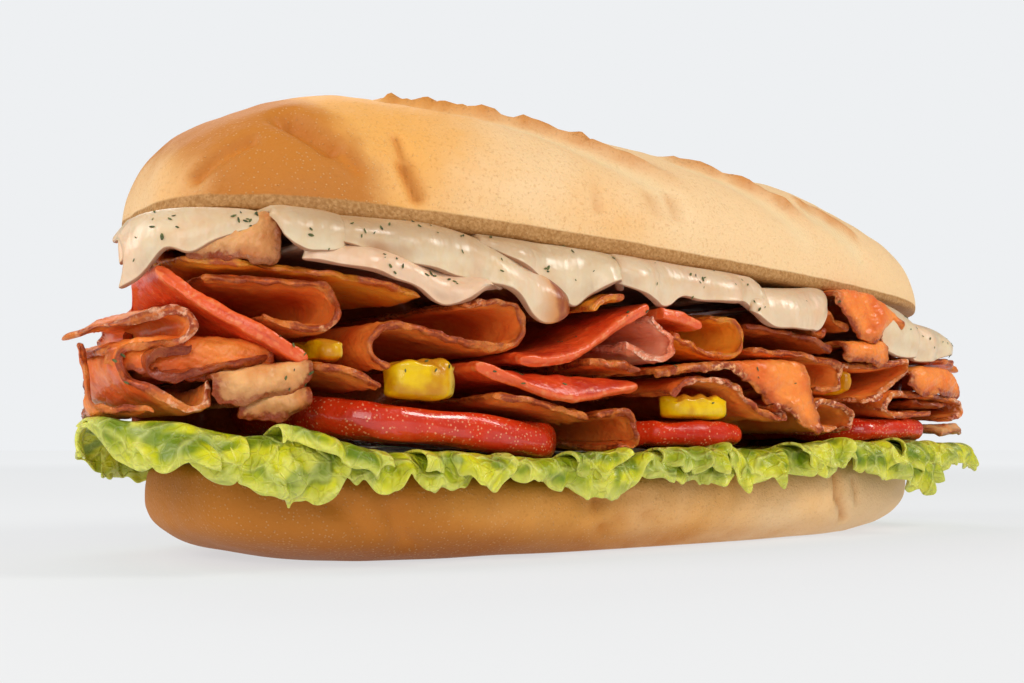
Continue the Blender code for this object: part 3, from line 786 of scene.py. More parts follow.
# %% Cheese material
cheese = Look("melted_cheese", Coat_Roughness=0.2, Subsurface_Weight=0.5,
              Subsurface_Radius=(0.006, 0.004, 0.0025))
x = cheese.along("X")
z = cheese.along("Z")
patch = cheese.noise(15.0, 3.0)
small = cheese.noise(4.0, 3.0)
froth = cheese.noise(1.8, 3.0)
drawn = cheese.noise(5.0, 3.0, cheese.stretched((1.0, 1.0, 0.22)))
tone = cheese.tint((0.78, 0.63, 0.42), (0.74, 0.54, 0.32), small, 0.35, 0.75)
tone = cheese.tint(tone, (0.84, 0.72, 0.52), froth, 0.5, 0.7, 0.25)
tone = cheese.tint(tone, (0.76, 0.42, 0.21), drawn, 0.52, 0.70, 0.35)
pinkness = cheese.spread(patch, 0.48, 0.72) * 0.32 + cheese.painted("pink")
tone = cheese.blend(pinkness, tone, (0.87, 0.50, 0.34))
# Painted shadow of the upper bread: the cheese darkens towards the bread's rim, most along the slab.
shadow_span = cheese.spread(x, -20.0, -60.0) * cheese.spread(x, -96.0, -78.0)
bread_shadow = 0.08 + patch * 0.4 + shadow_span * 0.5
tone = cheese.tint(tone, (0.40, 0.21, 0.085), z - bread_rim(x), -8.0, -2.2, bread_shadow)
# Painted shade: faces that turn downwards are darkened; they also get less coat and more roughness.
underside = cheese.spread(cheese.facing("Z"), -0.2, -0.75) * 0.7
tone = cheese.blend(underside, tone, (0.30, 0.075, 0.02))
burnt = cheese.painted("browned")
tone = cheese.blend(burnt, tone, (0.62, 0.22, 0.03))
tone = cheese.tint(tone, (0.30, 0.06, 0.012), burnt + (small - 0.5) * 0.8, 0.75, 1.0)
cheese.feed("Base Color", tone)
cheese.feed("Roughness", 0.28 + small * 0.16 + underside * 0.6)
cheese.feed("Coat Weight", 0.24 - underside * 0.34)
cheese.bump((patch - 0.5) * 0.8 + (small - 0.5) * 0.3 + (drawn - 0.5) * 0.9 + (froth - 0.5) * 0.08)

# %% Cheese aprons
# Rows of the place along the roll, the height where the slice leaves the bread and the height of its
# melted lower edge.
CHEESE_EDGES = {
    "cheese_left": (
        (-110, 54, 45.5), (-108, 57, 47), (-105.5, 58, 51.5), (-102, 58.6, 51), (-98, 58.8, 53.5),
        (-93, 58.8, 55.5), (-89.5, 58.5, 56.5)),
    "cheese_roll": (
        (-90, 59.2, 58.2), (-88.2, 59.5, 54.2), (-86, 59.4, 52.4), (-83, 59.3, 52.2), (-80.5, 59, 52.6),
        (-78.5, 58.6, 54)),
    "cheese_slab": (
        (-81.5, 58.9, 55), (-72, 59, 53), (-60, 58.8, 50.2), (-52, 57.2, 49), (-46, 55, 47.2),
        (-42, 53.5, 43.7), (-38, 52.2, 42.7), (-35.5, 51, 44), (-33.6, 49.5, 46.5)),
    "cheese_pink": (
        (-84.5, 54, 51.4), (-76, 54.3, 49.9), (-70, 53.6, 49), (-66, 52.6, 48), (-62, 51.4, 45.6),
        (-59, 50.6, 45), (-56.5, 50.3, 46), (-54, 50.4, 48), (-48, 50.4, 49.2)),
    "cheese_drape": (
        (-52, 58.2, 56.5), (-44, 58, 53), (-37, 57.8, 49.6), (-34, 57.8, 47), (-31, 57.7, 46.2),
        (-28, 57.6, 48.8), (-25, 57.5, 51), (-22, 57.3, 51.8), (-18.5, 57, 50.6)),
    "cheese_wave": (
        (-21.5, 57.3, 52), (-17, 57.2, 49.8), (-13, 57, 48.6), (-10, 57, 47.6), (-8, 56.9, 48),
        (-6, 56.8, 49.8), (0, 56.6, 49.8), (8, 56.4, 49.8), (13, 56.2, 50.2), (17, 55.8, 48.6),
        (19.5, 54.5, 49)),
    "cheese_streak": (
        (15, 52.5, 49), (17, 53.6, 47), (20, 54, 45.7), (26, 54.4, 45.4), (33, 55, 45.5),
        (36.5, 55.4, 46.2), (38.5, 55.4, 50), (41, 55.2, 53)),
    "cheese_right": (
        (52, 55.4, 54.4), (56, 55, 51), (59, 54.6, 47), (61, 54.2, 43), (64, 53.8, 41.5), (70, 52.4, 41),
        (75, 50.5, 41.8)),
    "cheese_round": (
        (70, 51, 41.8), (78, 50, 40.6), (84, 49.6, 41.5), (90, 48.8, 43), (94, 47.6, 44),
        (96.5, 46.6, 45.4)),
}
# How far each slice stands out of the filling's front, and how much meat shows through it.
CHEESE_PROUD = {
    "cheese_roll": 2.6, "cheese_left": 0.8, "cheese_slab": 0.6, "cheese_pink": 1.6, "cheese_drape": 0.0,
    "cheese_wave": 0.8, "cheese_streak": 0.3, "cheese_right": 0.5, "cheese_round": 0.9,
}
CHEESE_PINK = {"cheese_pink": 0.45, "cheese_wave": 0.12, "cheese_streak": 0.2, "cheese_left": 0.05}
CHEESE_THICK = 1.3
CHEESE_SPACING = 0.65
CHEESE_ROWS = 56
# Shares of the way down the grid: before the first it hangs at the back, past the second at the front.
CHEESE_BACK = 0.2
CHEESE_FRONT = 0.42
BACK_HANG = 4.5
TUCKED = 2.8
SWOLLEN = 0.35
# Where along the roll the slab's tip turns brown.
BROWN_TIP = (-42.5, -36.0)


def cheese_apron(name, seed):
    """A melted slice: a sheet across the food whose long edges hang down in soft folds."""
    knots = CHEESE_EDGES[name]
    piece, x, down, top, low, side = apron_grid("fine_" + name, knots, CHEESE_SPACING, CHEESE_ROWS)
    depth = front_depth(x) + CHEESE_PROUD[name]
    back = back_edge(x, top, depth)
    # down runs from the back's lower edge over the top to the front's lower edge
    at_back = np.clip(1.0 - down / CHEESE_BACK, 0.0, 1.0)
    at_front = np.clip((down - CHEESE_FRONT) / (1.0 - CHEESE_FRONT), 0.0, 1.0)
    across = np.clip((down - CHEESE_BACK) / (CHEESE_FRONT - CHEESE_BACK), 0.0, 1.0)
    y = back + (-depth - back) * (0.5 * (1.0 - np.cos(math.pi * across)))
    hang = (top - low) * at_front ** 1.25 * (1.0 - 0.08 * at_front)
    hang += np.minimum(top - low, BACK_HANG) * at_back**1.3 * (0.7 + 0.3 * np.sin(x / 4.0 + seed))
    z = top - hang
    fold = at_front**0.8
    tops = np.stack([x, z * 0.6, np.zeros(len(x))], axis=1)
    wave = 1.5 * ripple(tops, 12.0, seed) + 0.3 * ripple(tops, 6.5, seed + 1)
    y -= fold * (wave + 0.9 * np.sin(at_front * math.pi) ** 2)
    y += at_back * 0.8 * ripple(tops, 9.0, seed + 2)
    y += fold * 1.6 * np.exp(-side / 1.5)
    y += TUCKED * np.exp(-((top - z) / 1.6)) * (at_back == 0.0)
    move_points(piece.data, np.stack([x, y, z], axis=1))
    thicken(piece, CHEESE_THICK)
    round_off(piece, 1)
    places = points_of(piece.data)
    lip = through(knots, 2, np.clip(places[:, 0], knots[0][0], knots[-1][0]))
    push_out(piece, SWOLLEN * np.exp(-np.abs(places[:, 2] - lip)) * (places[:, 1] < 0.0))
    return piece


for number, name in enumerate(sorted(CHEESE_EDGES)):
    piece = cheese_apron(name, number + 40)
    places = points_of(piece.data)
    store(piece, "browned", smooth(places[:, 0], *BROWN_TIP) * (name == "cheese_slab"))
    store(piece, "pink", np.full(len(places), CHEESE_PINK.get(name, 0.0)))
    finish_piece(piece, cheese, name)
print("cheese slices:", len(CHEESE_EDGES))

# %% [markdown]
# ## Lettuce
# Curled green leaf, bright yellow-green with paler rims and veins, and dark patches of painted shade that
# stand for its hollows. A grid is laid over the bed and rolled over the bread's edge. Its ruffles could be
# sculpted, but here they are waves that grow towards the rim, and Solidify comes last, so the leaf keeps
# its thin even thickness.

# %% Lettuce material
leaf = Look("lettuce_leaf", Coat_Weight=0.1, Coat_Roughness=0.15, Specular_IOR_Level=0.3,
            Subsurface_Weight=0.35, Subsurface_Radius=(0.002, 0.003, 0.0005))
rim = leaf.painted("rim")
patch = leaf.noise(8.0, 4.0)
fine = leaf.noise(2.2, 3.0)
warp = leaf.node("ShaderNodeTexNoise", {}, {"Vector": leaf.where, "Scale": 120.0, "Detail": 2.0}, "Color")
bent = leaf.node("ShaderNodeVectorMath", {"operation": "SCALE"}, {0: warp, "Scale": 0.006}, 0)
bent = leaf.node("ShaderNodeVectorMath", {"operation": "ADD"}, {0: leaf.where, 1: bent}, 0)
net = {"feature": "DISTANCE_TO_EDGE"}
veins = leaf.node("ShaderNodeTexVoronoi", net, {"Vector": bent, "Scale": 150.0}, "Distance")
twigs = leaf.node("ShaderNodeTexVoronoi", net, {"Vector": bent, "Scale": 420.0}, "Distance")
vein = leaf.spread(veins, 0.12, 0.0)
twig = leaf.spread(twigs, 0.14, 0.0)
green = leaf.tint((0.30, 0.37, 0.005), (0.66, 0.64, 0.012), patch, 0.36, 0.62)
green = leaf.tint(green, (0.76, 0.73, 0.07), fine, 0.45, 0.75, 0.35)
# Painted shade: dark patches away from the rim stand for the shade in the leaf's hollows.
dark = leaf.spread(leaf.noise(7.0, 2.0), 0.46, 0.58) * leaf.spread(rim, 0.6, 3.0)
green = leaf.blend(dark * 0.8, green, (0.085, 0.18, 0.004))
green = leaf.blend(vein * 0.3 + twig * 0.1, green, (0.78, 0.80, 0.26))
green = leaf.tint(green, (0.78, 0.76, 0.17), rim + (patch - 0.5) * 2.0, 2.0, 0.3, 0.5)
leaf.feed("Base Color", green)
leaf.feed("Roughness", 0.28 + fine * 0.2)
leaf.bump((patch - 0.5) * 1.1 + (fine - 0.5) * 0.5 + vein * 0.4 + twig * 0.14)

# %% Lettuce aprons
# Rows of the place along the roll, the height of the leaf's shoulder and the height of its lower edge.
LETTUCE_EDGES = {
    "lettuce_leaf_1": (
        (-114, 25, 22), (-112, 25.8, 20), (-109, 25, 17.2), (-106, 25.2, 17.6), (-102, 25, 18),
        (-99, 24, 15.2), (-95.5, 22.5, 15.4), (-93.5, 22, 17)),
    "lettuce_leaf_2": (
        (-97, 20, 17.5), (-95, 21, 14), (-92, 23, 13), (-89, 24, 10.9), (-86.5, 23.8, 12.4),
        (-84, 23.2, 12.3), (-81.6, 22, 10.8), (-79, 20.5, 14)),
    "lettuce_leaf_3": (
        (-84, 23, 16), (-80, 22.4, 15), (-75, 20.6, 14.6), (-71.5, 19.2, 12.8), (-68, 19.5, 15),
        (-63, 19.2, 12.6), (-59, 19.6, 13.8), (-55, 19.8, 14.6), (-50, 19.4, 14.6), (-47, 18.6, 15.6)),
    "lettuce_leaf_4": (
        (-50, 19.5, 15.5), (-46, 19.4, 14.8), (-41, 19.2, 14.4), (-36, 19.6, 13.4), (-31, 20, 11.6),
        (-27, 20.2, 10.8), (-23, 19.6, 12.2), (-19, 19, 14.8), (-16.5, 19.4, 16)),
    "lettuce_leaf_5": (
        (-20, 18.6, 16), (-16, 19.6, 15.6), (-12, 20.4, 14.4), (-8, 20.6, 13.4), (-4, 20.6, 14.4),
        (0, 20.6, 14), (4, 20.8, 12.8), (6, 21.4, 11.8), (9, 21.4, 14.5)),
    "lettuce_leaf_6": (
        (5, 21.6, 14), (9, 21.2, 13), (11, 21, 11.4), (14, 20.8, 12.8), (18.5, 20.4, 12.8),
        (22, 20.6, 15), (27, 21.2, 15.4), (32, 21.6, 14.8), (38, 22, 14.2), (41, 22.2, 16.6)),
    "lettuce_leaf_7": (
        (37, 22.4, 15), (41, 22.8, 16.8), (45, 23, 17.6), (48, 23, 16), (52, 23, 14.8), (57, 22.6, 14.4),
        (61, 22.4, 15)),
    "lettuce_leaf_8": (
        (55, 22, 15.5), (60, 22.2, 14), (64, 22.4, 12.4), (68, 22.5, 11.4), (73, 22.5, 10.8),
        (78, 22.3, 11.6), (84, 22, 14.4), (92, 22, 16), (100, 22, 15.8), (108, 22, 15), (116, 22, 16)),
    "lettuce_curl_1": (
        (-109.5, 19.5, 17.4), (-107, 21.6, 17), (-104, 22.6, 18.4), (-101, 21.4, 17), (-98.6, 19, 14.8)),
    "lettuce_curl_2": (
        (-90, 24.2, 21), (-85, 24, 20), (-80, 22.6, 18.4), (-75, 20.4, 16.6), (-71, 19.6, 16.4)),
    "lettuce_curl_3": (
        (-66, 20, 16), (-61, 19.8, 15.2), (-56, 20.2, 15.6), (-52, 19.8, 14.2), (-49, 19.4, 17)),
    "lettuce_curl_4": (
        (-36, 20, 17), (-31, 20.6, 15), (-27, 21, 15.4), (-23, 20.4, 17.4)),
    "lettuce_curl_5": (
        (-13, 21, 17), (-8, 21.2, 16), (-2, 21, 16.4), (3, 21.4, 15.6), (6, 21.6, 18)),
    "lettuce_curl_6": (
        (24, 21.6, 18), (30, 22, 16.6), (37, 22.6, 16.8), (42, 22.8, 18.4)),
    "lettuce_curl_7": (
        (62, 23, 19), (68, 23.2, 16.4), (74, 23, 16), (80, 22.6, 18)),
}
LETTUCE_PROUD = {"lettuce_leaf_2": 1.4, "lettuce_leaf_4": 1.2, "lettuce_leaf_6": 1.2, "lettuce_leaf_8": 0.8}
CURL_PROUD = 1.9
LEAF_THICK = 0.55
LEAF_SPACING = 0.6
LEAF_ROWS = 60
CURL_ROWS = 44
# Shares of the way down the grid, as for the cheese.
LEAF_BACK = 0.28
LEAF_FRONT = 0.44
BED_INSET = 5.0
END_REACH = 4.0
END_RISE = 0.35


def bed_height(x):
    """Height of the lettuce bed's upper face, as in the solids."""
    left = 4.8 * smooth(-x, 75.0, 110.0)
    right = 1.4 * smooth(x, 20.0, 50.0)
    return 20.4 + left - 2.8 * bell((x + 34.0) / 22.0) + right


def curved(first, second, third, fourth, t):
    """A point of a bent line that starts at first, ends at fourth and leans on the two between."""
    return ((1 - t)**3 * first + 3 * (1 - t)**2 * t * second + 3 * (1 - t) * t**2 * third + t**3 * fourth)


def leaf_apron(name, seed):
    """A leaf across the food whose long edges roll over the bread and end in ruffles."""
    curl = "curl" in name
    proud = CURL_PROUD if curl else LETTUCE_PROUD.get(name, 0.0)
    title, rows = (name, CURL_ROWS) if curl else ("fine_" + name, LEAF_ROWS)
    piece, x, down, top, low, side = apron_grid(title, LETTUCE_EDGES[name], LEAF_SPACING, rows)
    depth = front_depth(x)
    close = smooth(side, 0.0, END_REACH)
    low = low + (1.0 - close) * (top - low) * END_RISE
    bed = bed_height(x) - 1.0
    if curl:
        at_front = down
        at_back = np.zeros(len(x))
        back = -depth
        y = BED_INSET + 1.0 - depth
    else:
        at_back = np.clip(1.0 - down / LEAF_BACK, 0.0, 1.0)
        at_front = np.clip((down - LEAF_FRONT) / (1.0 - LEAF_FRONT), 0.0, 1.0)
        across = smooth(down, LEAF_BACK, LEAF_FRONT)
        back = back_edge(x, bed, depth) - BED_INSET
        y = back + (BED_INSET - depth - back) * across
    front = at_front > 0.0
    y_front = curved(BED_INSET - depth, -depth - 1.0, -depth - 3.6 - proud, -depth - 2.4 - proud, at_front)
    z_front = curved(bed, top + 1.2, 0.5 * (top + low) + 1.0, low, at_front)
    y_back = curved(0.0, 5.0, 8.6, 7.6, at_back) + back
    z_back = curved(bed, bed + 1.5, bed - 2.0, bed - 6.0 + 1.5 * np.sin(x / 5.0 + seed), at_back)
    y = np.where(front, y_front, np.where(at_back > 0.0, y_back, y))
    z = np.where(front, z_front, np.where(at_back > 0.0, z_back, bed))
    plan = np.stack([x, z * 0.5, np.full(len(x), float(seed))], axis=1)
    loose = np.maximum(at_front, at_back) ** 1.6
    facing_out = np.where(at_back > 0.0, 1.0, -1.0)
    y += loose * facing_out * (1.5 * ripple(plan, 10.0, seed) + 1.1 * ripple(plan, 4.2, seed + 1))
    z += loose * (0.8 * ripple(plan, 6.0, seed + 2) + 0.45 * ripple(plan, 2.6, seed + 3))
    x = x + loose * 0.8 * ripple(plan, 7.0, seed + 4)
    move_points(piece.data, np.stack([x, y, z], axis=1))
    store(piece, "rim", np.minimum(12.0 * (1.0 - np.maximum(at_front, at_back)), side + 0.3))
    thicken(piece, LEAF_THICK)
    round_off(piece, 1)
    return piece


for number, name in enumerate(sorted(LETTUCE_EDGES)):
    piece = leaf_apron(name, number + 60)
    finish_piece(piece, leaf, name)
print("lettuce pieces:", len(LETTUCE_EDGES))

# %% [markdown]
# ## Tomato and pepper
# Tomato slices show their skin side on: deep red and glossy, with tiny pale points. The pepper pieces are
# bright yellow and waxy, rough where they are torn. Both could be made from spheres and boxes again, but
# they are compact, so Subdivision Surface on a copy of the solid, with a few soft dents, is enough.

# %% Tomato
tomato = Look("tomato", Coat_Roughness=0.05, Specular_IOR_Level=0.25, Subsurface_Weight=0.15,
              Subsurface_Radius=(0.004, 0.0008, 0.0004))
patch = tomato.noise(12.0, 3.0)
points = tomato.cells(0.75)
skin = tomato.tint((0.72, 0.040, 0.006), (0.54, 0.018, 0.003), patch, 0.35, 0.65)
dots = tomato.spread(points, 0.34, 0.14) * tomato.spread(tomato.noise(5.0, 1.0), 0.30, 0.50)
tomato.feed("Base Color", tomato.blend(dots * 0.75, skin, (0.90, 0.40, 0.20)))
grains = tomato.noise(1.1, 3.0)
tomato.feed("Roughness", 0.18 + patch * 0.2)
tomato.feed("Coat Weight", tomato.spread(tomato.noise(9.0, 2.0), 0.42, 0.56) * 0.9 + 0.05)
tomato.bump((patch - 0.5) * 0.3 + dots * 0.05 + (grains - 0.5) * 0.2)

TOMATOES = ("tomato_slice_1", "tomato_slice_2", "tomato_slice_3")
for number, name in enumerate(TOMATOES):
    piece = copied(name)
    round_off(piece, 3)
    places = points_of(piece.data)
    push_out(piece, 0.35 * ripple(places, 14.0, number + 900) + 0.12 * ripple(places, 5.0, number + 910))
    finish_piece(piece, tomato, name)
print("tomato slices:", len(TOMATOES))

# %% Pepper
pepper = Look("pepper", Coat_Weight=0.25, Coat_Roughness=0.08, Specular_IOR_Level=0.25,
              Subsurface_Weight=0.1, Subsurface_Radius=(0.004, 0.003, 0.0005))
patch = pepper.noise(7.0, 3.0)
fine = pepper.noise(1.5, 3.0)
flesh = pepper.tint((0.86, 0.56, 0.003), (0.56, 0.22, 0.002), patch, 0.38, 0.64)
# Painted light: faces that turn towards +X, the side the key light falls on, are paler yellow.
flesh = pepper.tint(flesh, (0.92, 0.84, 0.16), pepper.facing("X") + (fine - 0.5) * 0.3, 0.35, 0.8, 0.7)
torn = pepper.facing("Z") + (patch - 0.5) * 1.4 + (fine - 0.5) * 0.5
pepper.feed("Base Color", pepper.tint(flesh, (0.55, 0.22, 0.012), torn, 0.35, 0.7, 0.85))
pepper.feed("Roughness", 0.2 + fine * 0.2)
pepper.bump((patch - 0.5) * 0.3 + (fine - 0.5) * 0.2)

PEPPERS = ("pepper_left", "pepper_wide", "pepper_arched", "pepper_right")
for number, name in enumerate(PEPPERS):
    piece = copied(name)
    round_off(piece, 3)
    places = points_of(piece.data)
    upward = normals_of(piece.data)[:, 2]
    rough_top = smooth(upward, 0.2, 0.7) * (0.3 + 0.35 * ripple(places, 4.0, number + 950))
    push_out(piece, 0.2 * ripple(places, 6.0, number + 960) + rough_top)
    finish_piece(piece, pepper, name)
print("pepper pieces:", len(PEPPERS))

# %% [markdown]
# ## The roll
# A soft baked roll: a golden crust with fine pale blisters, browner on the raised lips of its slanting
# cuts, and a crumb that shows as a thin band under the upper half. Dynamic sculpting would give the lips
# and creases, but short lines with a depth and a width can be moved later. The copies of the two solids
# are rounded and pushed along these lines, waves add small wrinkles, and the crust's grain is bump.

# %% Crust material
crust = Look("crust", Coat_Weight=0.04, Coat_Roughness=0.3, Specular_IOR_Level=0.15,
             Subsurface_Weight=0.1, Subsurface_Radius=(0.003, 0.0018, 0.0009))
x = crust.along("X")
z = crust.along("Z")
cloud = crust.noise(34.0, 4.0)
patch = crust.noise(9.0, 4.0)
blister = crust.cells(0.8)
tiny = crust.noise(0.6, 2.0)
PALE = (0.88, 0.60, 0.32)
GOLD = (0.84, 0.42, 0.11)
BROWN = (0.50, 0.165, 0.018)
DARK = (0.25, 0.065, 0.007)
CRUMB = (0.38, 0.18, 0.052)
lower = crust.spread(z, 40.0, 30.0)
leftness = crust.spread(x, 0.0, -90.0) * (0.3 + crust.spread(x, -104.0, -84.0) * 0.7)
rightness = crust.spread(x, -15.0, 75.0)
# Partly real browning, partly painted light: the crust turns more golden to the left and low down, and paler
# to the right, where the key light falls.
gold_and_shade = cloud + leftness * 0.4 + lower * (0.28 - rightness * 0.25) - rightness * 0.14 - 0.19
tone = crust.tint(PALE, GOLD, gold_and_shade, 0.34, 0.74)
# Browner to the left, high and low, and near the bottom: partly real browning, partly painted shade away
# from the light.
brown_from = x + (cloud - 0.5) * 60.0 + (patch - 0.5) * 14.0
brown_top = crust.spread(brown_from, -58.0, -86.0) * crust.spread(x, -104.0, -90.0) * (1.0 - lower)
brown_low = crust.spread(x, -20.0, -85.0) * lower
underside = crust.spread(z, 10.0, 0.0) * (0.8 - rightness * 0.5)
brown_and_shade = (brown_top * 1.35 + brown_low * 1.2 + underside) * (0.35 + patch * 0.9)
# Deeper orange on the lower half, less so to the right: partly the crust's colour, partly painted light that
# leaves the right paler.
tone = crust.blend(lower * (0.6 - crust.spread(x, -35.0, 30.0) * 0.5), tone, (0.68, 0.26, 0.03))
tone = crust.tint(tone, BROWN, brown_and_shade, 0.1, 0.9, 0.9)
# Darker towards the ground at the left end: painted shade, with some real browning.
tone = crust.tint(tone, DARK, z, 8.0, 0.0, crust.spread(x, 10.0, -60.0) * 0.85)
speck = crust.spread(blister, 0.30, 0.08)
tone = crust.blend(speck * 0.26, tone, (0.95, 0.68, 0.34))
tone = crust.tint(tone, BROWN, tiny, 0.54, 0.72, 0.26 - rightness * 0.16)
band_top = z - bread_rim(x) + (patch - 0.5) * 0.6 + rightness * 0.7
crumb = crust.tint(CRUMB, (0.55, 0.30, 0.115), tiny, 0.3, 0.75)
tone = crust.tint(tone, crumb, band_top, 1.6, 1.15, crust.spread(z, 40.0, 50.0))
tone = crust.blend(crust.painted("torn") * 0.7, tone, (0.86, 0.66, 0.38))
# Painted shade in the creases and real browning on the lips, both from the browned attribute.
tone = crust.blend(crust.painted("browned") * (0.4 + patch * 0.8), tone, (0.58, 0.20, 0.026))
crust.feed("Base Color", tone)
crust.feed("Roughness", 0.45 + patch * 0.2)
crust.bump((patch - 0.5) * 0.6 + speck * 0.09 + (tiny - 0.5) * 0.16)

# %% Relief of the crust
# Slanting cuts: start and end in plan, height of the raised lip. Creases: two ends, depth, width. The far
# side has the same creases, shifted along the roll.
FAR_SHIFT = 17.0
CREASE_DEPTH = 1.9
CUT_LIPS = (
    (-61.0, -12.0, 6.0, -34.0, 1.9), (8.0, -19.0, 44.0, -34.5, 1.6), (43.0, -27.0, 62.0, -32.0, 0.8),
)
CREASES = (
    ((-97, -18, 66.5), (-89, -22.5, 73), 0.9, 1.6), ((-82, -22, 78), (-77, -29.5, 72.5), 1.8, 2.2),
    ((-77, -29.5, 72.5), (-73.5, -32, 68.5), 0.8, 1.8), ((-64.5, -30, 75.5), (-64.6, -33, 70), 0.8, 0.9),
    ((-64.6, -33, 70), (-63, -34.8, 64.5), 1.1, 1.6), ((-23, -35.3, 71.5), (-23.8, -37.2, 66.5), 0.5, 1.0),
    ((-8.8, -35.3, 71.5), (-9.4, -37, 67), 0.5, 0.9), ((-2.9, -35, 72), (-3.4, -36.8, 67), 0.5, 0.9),
    ((-23.4, -36.3, 11), (-21.7, -35.6, 6.5), 0.9, 1.1), ((-21.7, -35.6, 6.5), (-18, -32.3, 2.2), 0.9, 1.1),
    ((-18.9, -36.3, 11), (-16.8, -35.6, 6), 0.6, 1.0), ((-12.7, -36.3, 11), (-9.3, -35.5, 6), 0.5, 1.2),
    ((48.8, -34.3, 15.5), (48.8, -35.2, 9.5), 0.8, 1.1), ((48.8, -35.2, 9.5), (55, -32, 3.5), 0.8, 1.1),
    ((55.5, -34.7, 13), (57, -34.5, 8), 0.5, 1.0), ((-76, -30.5, 11), (-70, -30.7, 6), 0.8, 2.5),
    ((-66.5, -32.7, 9), (-62.5, -30, 3), 0.9, 2.2),
)


def crease_relief(places):
    """How deep each place lies in a crease, and how much painted shade darkens it there."""
    depth_there = np.zeros(len(places))
    shade_there = np.zeros(len(places))
    for side, shift in ((1.0, 0.0), (-1.0, FAR_SHIFT)):
        for first, last, depth, width in CREASES:
            a = np.array([first[0] + shift, first[1] * side, first[2]])
            b = np.array([last[0] + shift, last[1] * side, last[2]])
            run = b - a
            along = np.clip((places - a) @ run / (run @ run), 0.0, 1.0)
            far = np.linalg.norm(places - a - along[:, None] * run, axis=1)
            depth_there = np.maximum(depth_there, CREASE_DEPTH * depth * bell(far / width))
            shade_there = np.maximum(shade_there, min(depth, 1.0) * bell(far / (0.8 * width)))
    return depth_there, shade_there


def lip_relief(places):
    """Raised lips of the slanting cuts, with the browning of the lip and the torn trough in front of it."""
    lift = np.zeros(len(places))
    brown = np.zeros(len(places))
    torn = np.zeros(len(places))
    x, y = places[:, 0], places[:, 1]
    for start_x, start_y, end_x, end_y, height in CUT_LIPS:
        run_x, run_y = end_x - start_x, end_y - start_y
        length = math.hypot(run_x, run_y)
        share = ((x - start_x) * run_x + (y - start_y) * run_y) / (length * length)
        aside = ((y - start_y) * run_x - (x - start_x) * run_y) / length
        along = smooth(share, 0.0, 0.08) * smooth(1.0 - share, 0.0, 0.25)
        fringe = 1.0 + 0.25 * ripple(places, 8.0, 31) + 0.1 * ripple(places, 3.6, 32)
        crest = smooth(aside, -0.9, 0.3) * np.exp(-np.maximum(aside, 0.0) / 2.2)
        lift += along * height * fringe * crest - along * 0.5 * height * bell((aside + 3.2) / 2.6)
        brown = np.maximum(brown, along * 0.9 * fringe * bell((aside - 0.6) / 2.0))
        torn = np.maximum(torn, along * bell((aside + 3.4) / 2.2))
    upper = smooth(places[:, 2], 60.0, 66.0)
    return lift * upper, brown * upper, torn * upper


# %% Roll halves
for name in ("bun_top", "bun_bottom"):
    piece = copied(name)
    round_off(piece, 3)
    places = points_of(piece.data)
    keep = smooth(places[:, 2], 0.5, 3.0)
    dents = 0.25 * ripple(places, 24.0, 3) + 0.08 * ripple(places, 8.0, 5)
    creased, shaded = crease_relief(places)
    lift, lip_brown, torn = lip_relief(places)
    push_out(piece, (dents - creased + lift) * keep)
    # The browned attribute holds the painted shade in the creases and the real browning of the lips.
    store(piece, "browned", np.clip(shaded + lip_brown, 0.0, 1.0) * keep)
    store(piece, "torn", torn)
    finish_piece(piece, crust, name)
    print(name, "faces:", len(piece.data.polygons))

# %% [markdown]
# ## Dried herbs
# Flakes of dried green herb lie on the cheese, the sausage and the pepper. One flake is modelled as a small
# bent leaf and copied to seeded random places on those pieces where they face out or up. Particles would be
# quicker to set up, but real mesh stays in place when the model is exported.

# %% Herbs
herb = Look("dried_herb", Roughness=0.7)
patch = herb.noise(0.8, 2.0)
herb.feed("Base Color", herb.tint((0.035, 0.05, 0.012), (0.12, 0.13, 0.03), patch, 0.4, 0.6))
herb.bump((patch - 0.5) * 0.1)

HERB_COUNTS = {
    "cheese_left": 26, "cheese_slab": 20, "cheese_pink": 14, "cheese_drape": 12, "cheese_wave": 14,
    "cheese_streak": 8, "cheese_right": 8, "cheese_round": 16, "cheese_roll": 4, "salami_bowl": 10,
    "salami_rise": 8, "salami_slope": 8, "pepper_wide": 6, "pepper_arched": 4, "turkey_front_flap": 6,
    "turkey_tip_fold": 5, "turkey_flat_roll": 5, "turkey_big_flap": 3,
}
NEIGHBOURS = 700

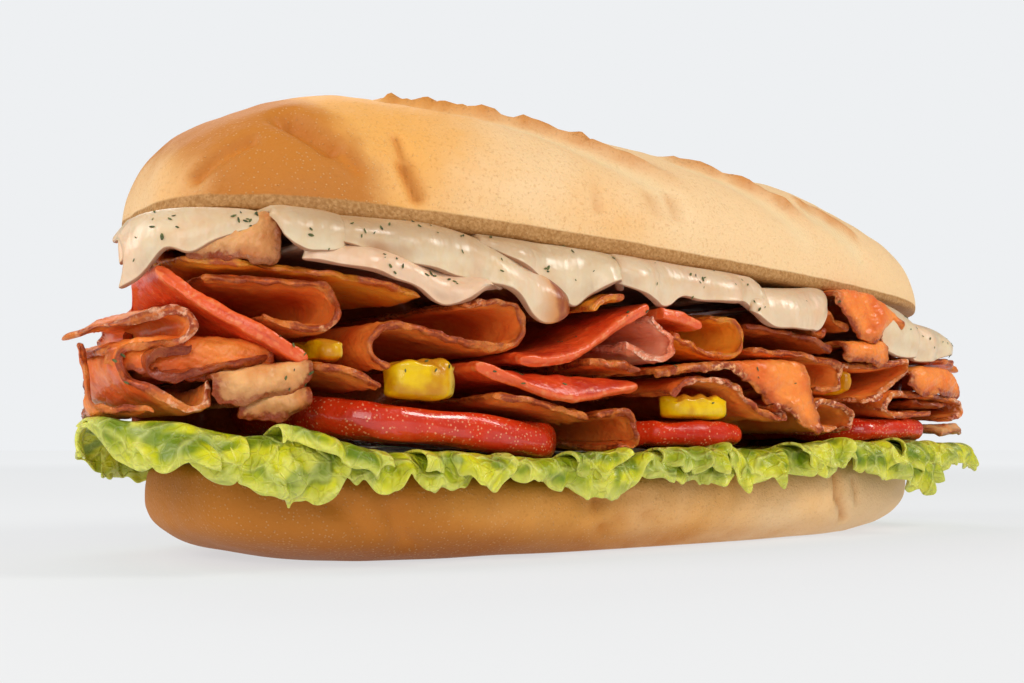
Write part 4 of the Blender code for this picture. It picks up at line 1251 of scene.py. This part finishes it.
bpy.ops.object.select_all(action="DESELECT")
bpy.ops.mesh.primitive_ico_sphere_add(subdivisions=1, radius=1.0)
flake = bpy.context.object
bpy.ops.object.mode_set(mode="EDIT")
bpy.ops.mesh.select_all(action="SELECT")
bpy.ops.transform.resize(value=(0.75, 0.32, 0.12))
bpy.ops.object.mode_set(mode="OBJECT")
flake_points = np.array([tuple(point.co) for point in flake.data.vertices])
flake_points[:, 2] += 0.22 * flake_points[:, 0] ** 2
flake_faces = [tuple(face.vertices) for face in flake.data.polygons]
bpy.data.objects.remove(flake, do_unlink=True)

chance = np.random.default_rng(11)
all_points = []
all_faces = []
for name, count in HERB_COUNTS.items():
    carrier = bpy.data.objects["fine_" + name].data
    places = points_of(carrier)
    outward = normals_of(carrier)
    inward = places[:, 1] + front_depth(places[:, 0])
    facing_out = (outward[:, 1] < -0.35) & (inward < 5.0)
    facing_up = (outward[:, 2] > 0.5) & (inward < 8.0)
    choices = np.flatnonzero(facing_out | facing_up)
    clumps = chance.choice(choices, size=max(2, count // 2))
    for pick in range(count):
        near = clumps[chance.integers(len(clumps))]
        nearest = np.argsort(np.linalg.norm(places[choices] - places[near], axis=1))
        spot = choices[nearest[chance.integers(NEIGHBOURS) % len(choices)]]
        normal = Vector(outward[spot])
        spin = Matrix.Rotation(chance.uniform(0.0, 6.3), 3, "Z")
        turn = normal.to_track_quat("Z", "Y").to_matrix() @ spin
        size = chance.uniform(0.35, 0.85)
        first = len(all_points) * len(flake_points)
        shape = flake_points * size * np.array([1.0, chance.uniform(0.7, 1.3), 1.0])
        all_points.append(shape @ np.array(turn).T + places[spot] + 0.08 * np.array(normal))
        all_faces += [tuple(first + corner for corner in face) for face in flake_faces]
herb_mesh = bpy.data.meshes.new("herb_flakes")
herb_mesh.from_pydata((np.concatenate(all_points) * MM).tolist(), [], all_faces)
herb_mesh.materials.append(herb.material)
herbs = bpy.data.objects.new("herb_flakes", herb_mesh)
scene.collection.objects.link(herbs)
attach(herbs, "root")
print("herb flakes:", len(all_points))
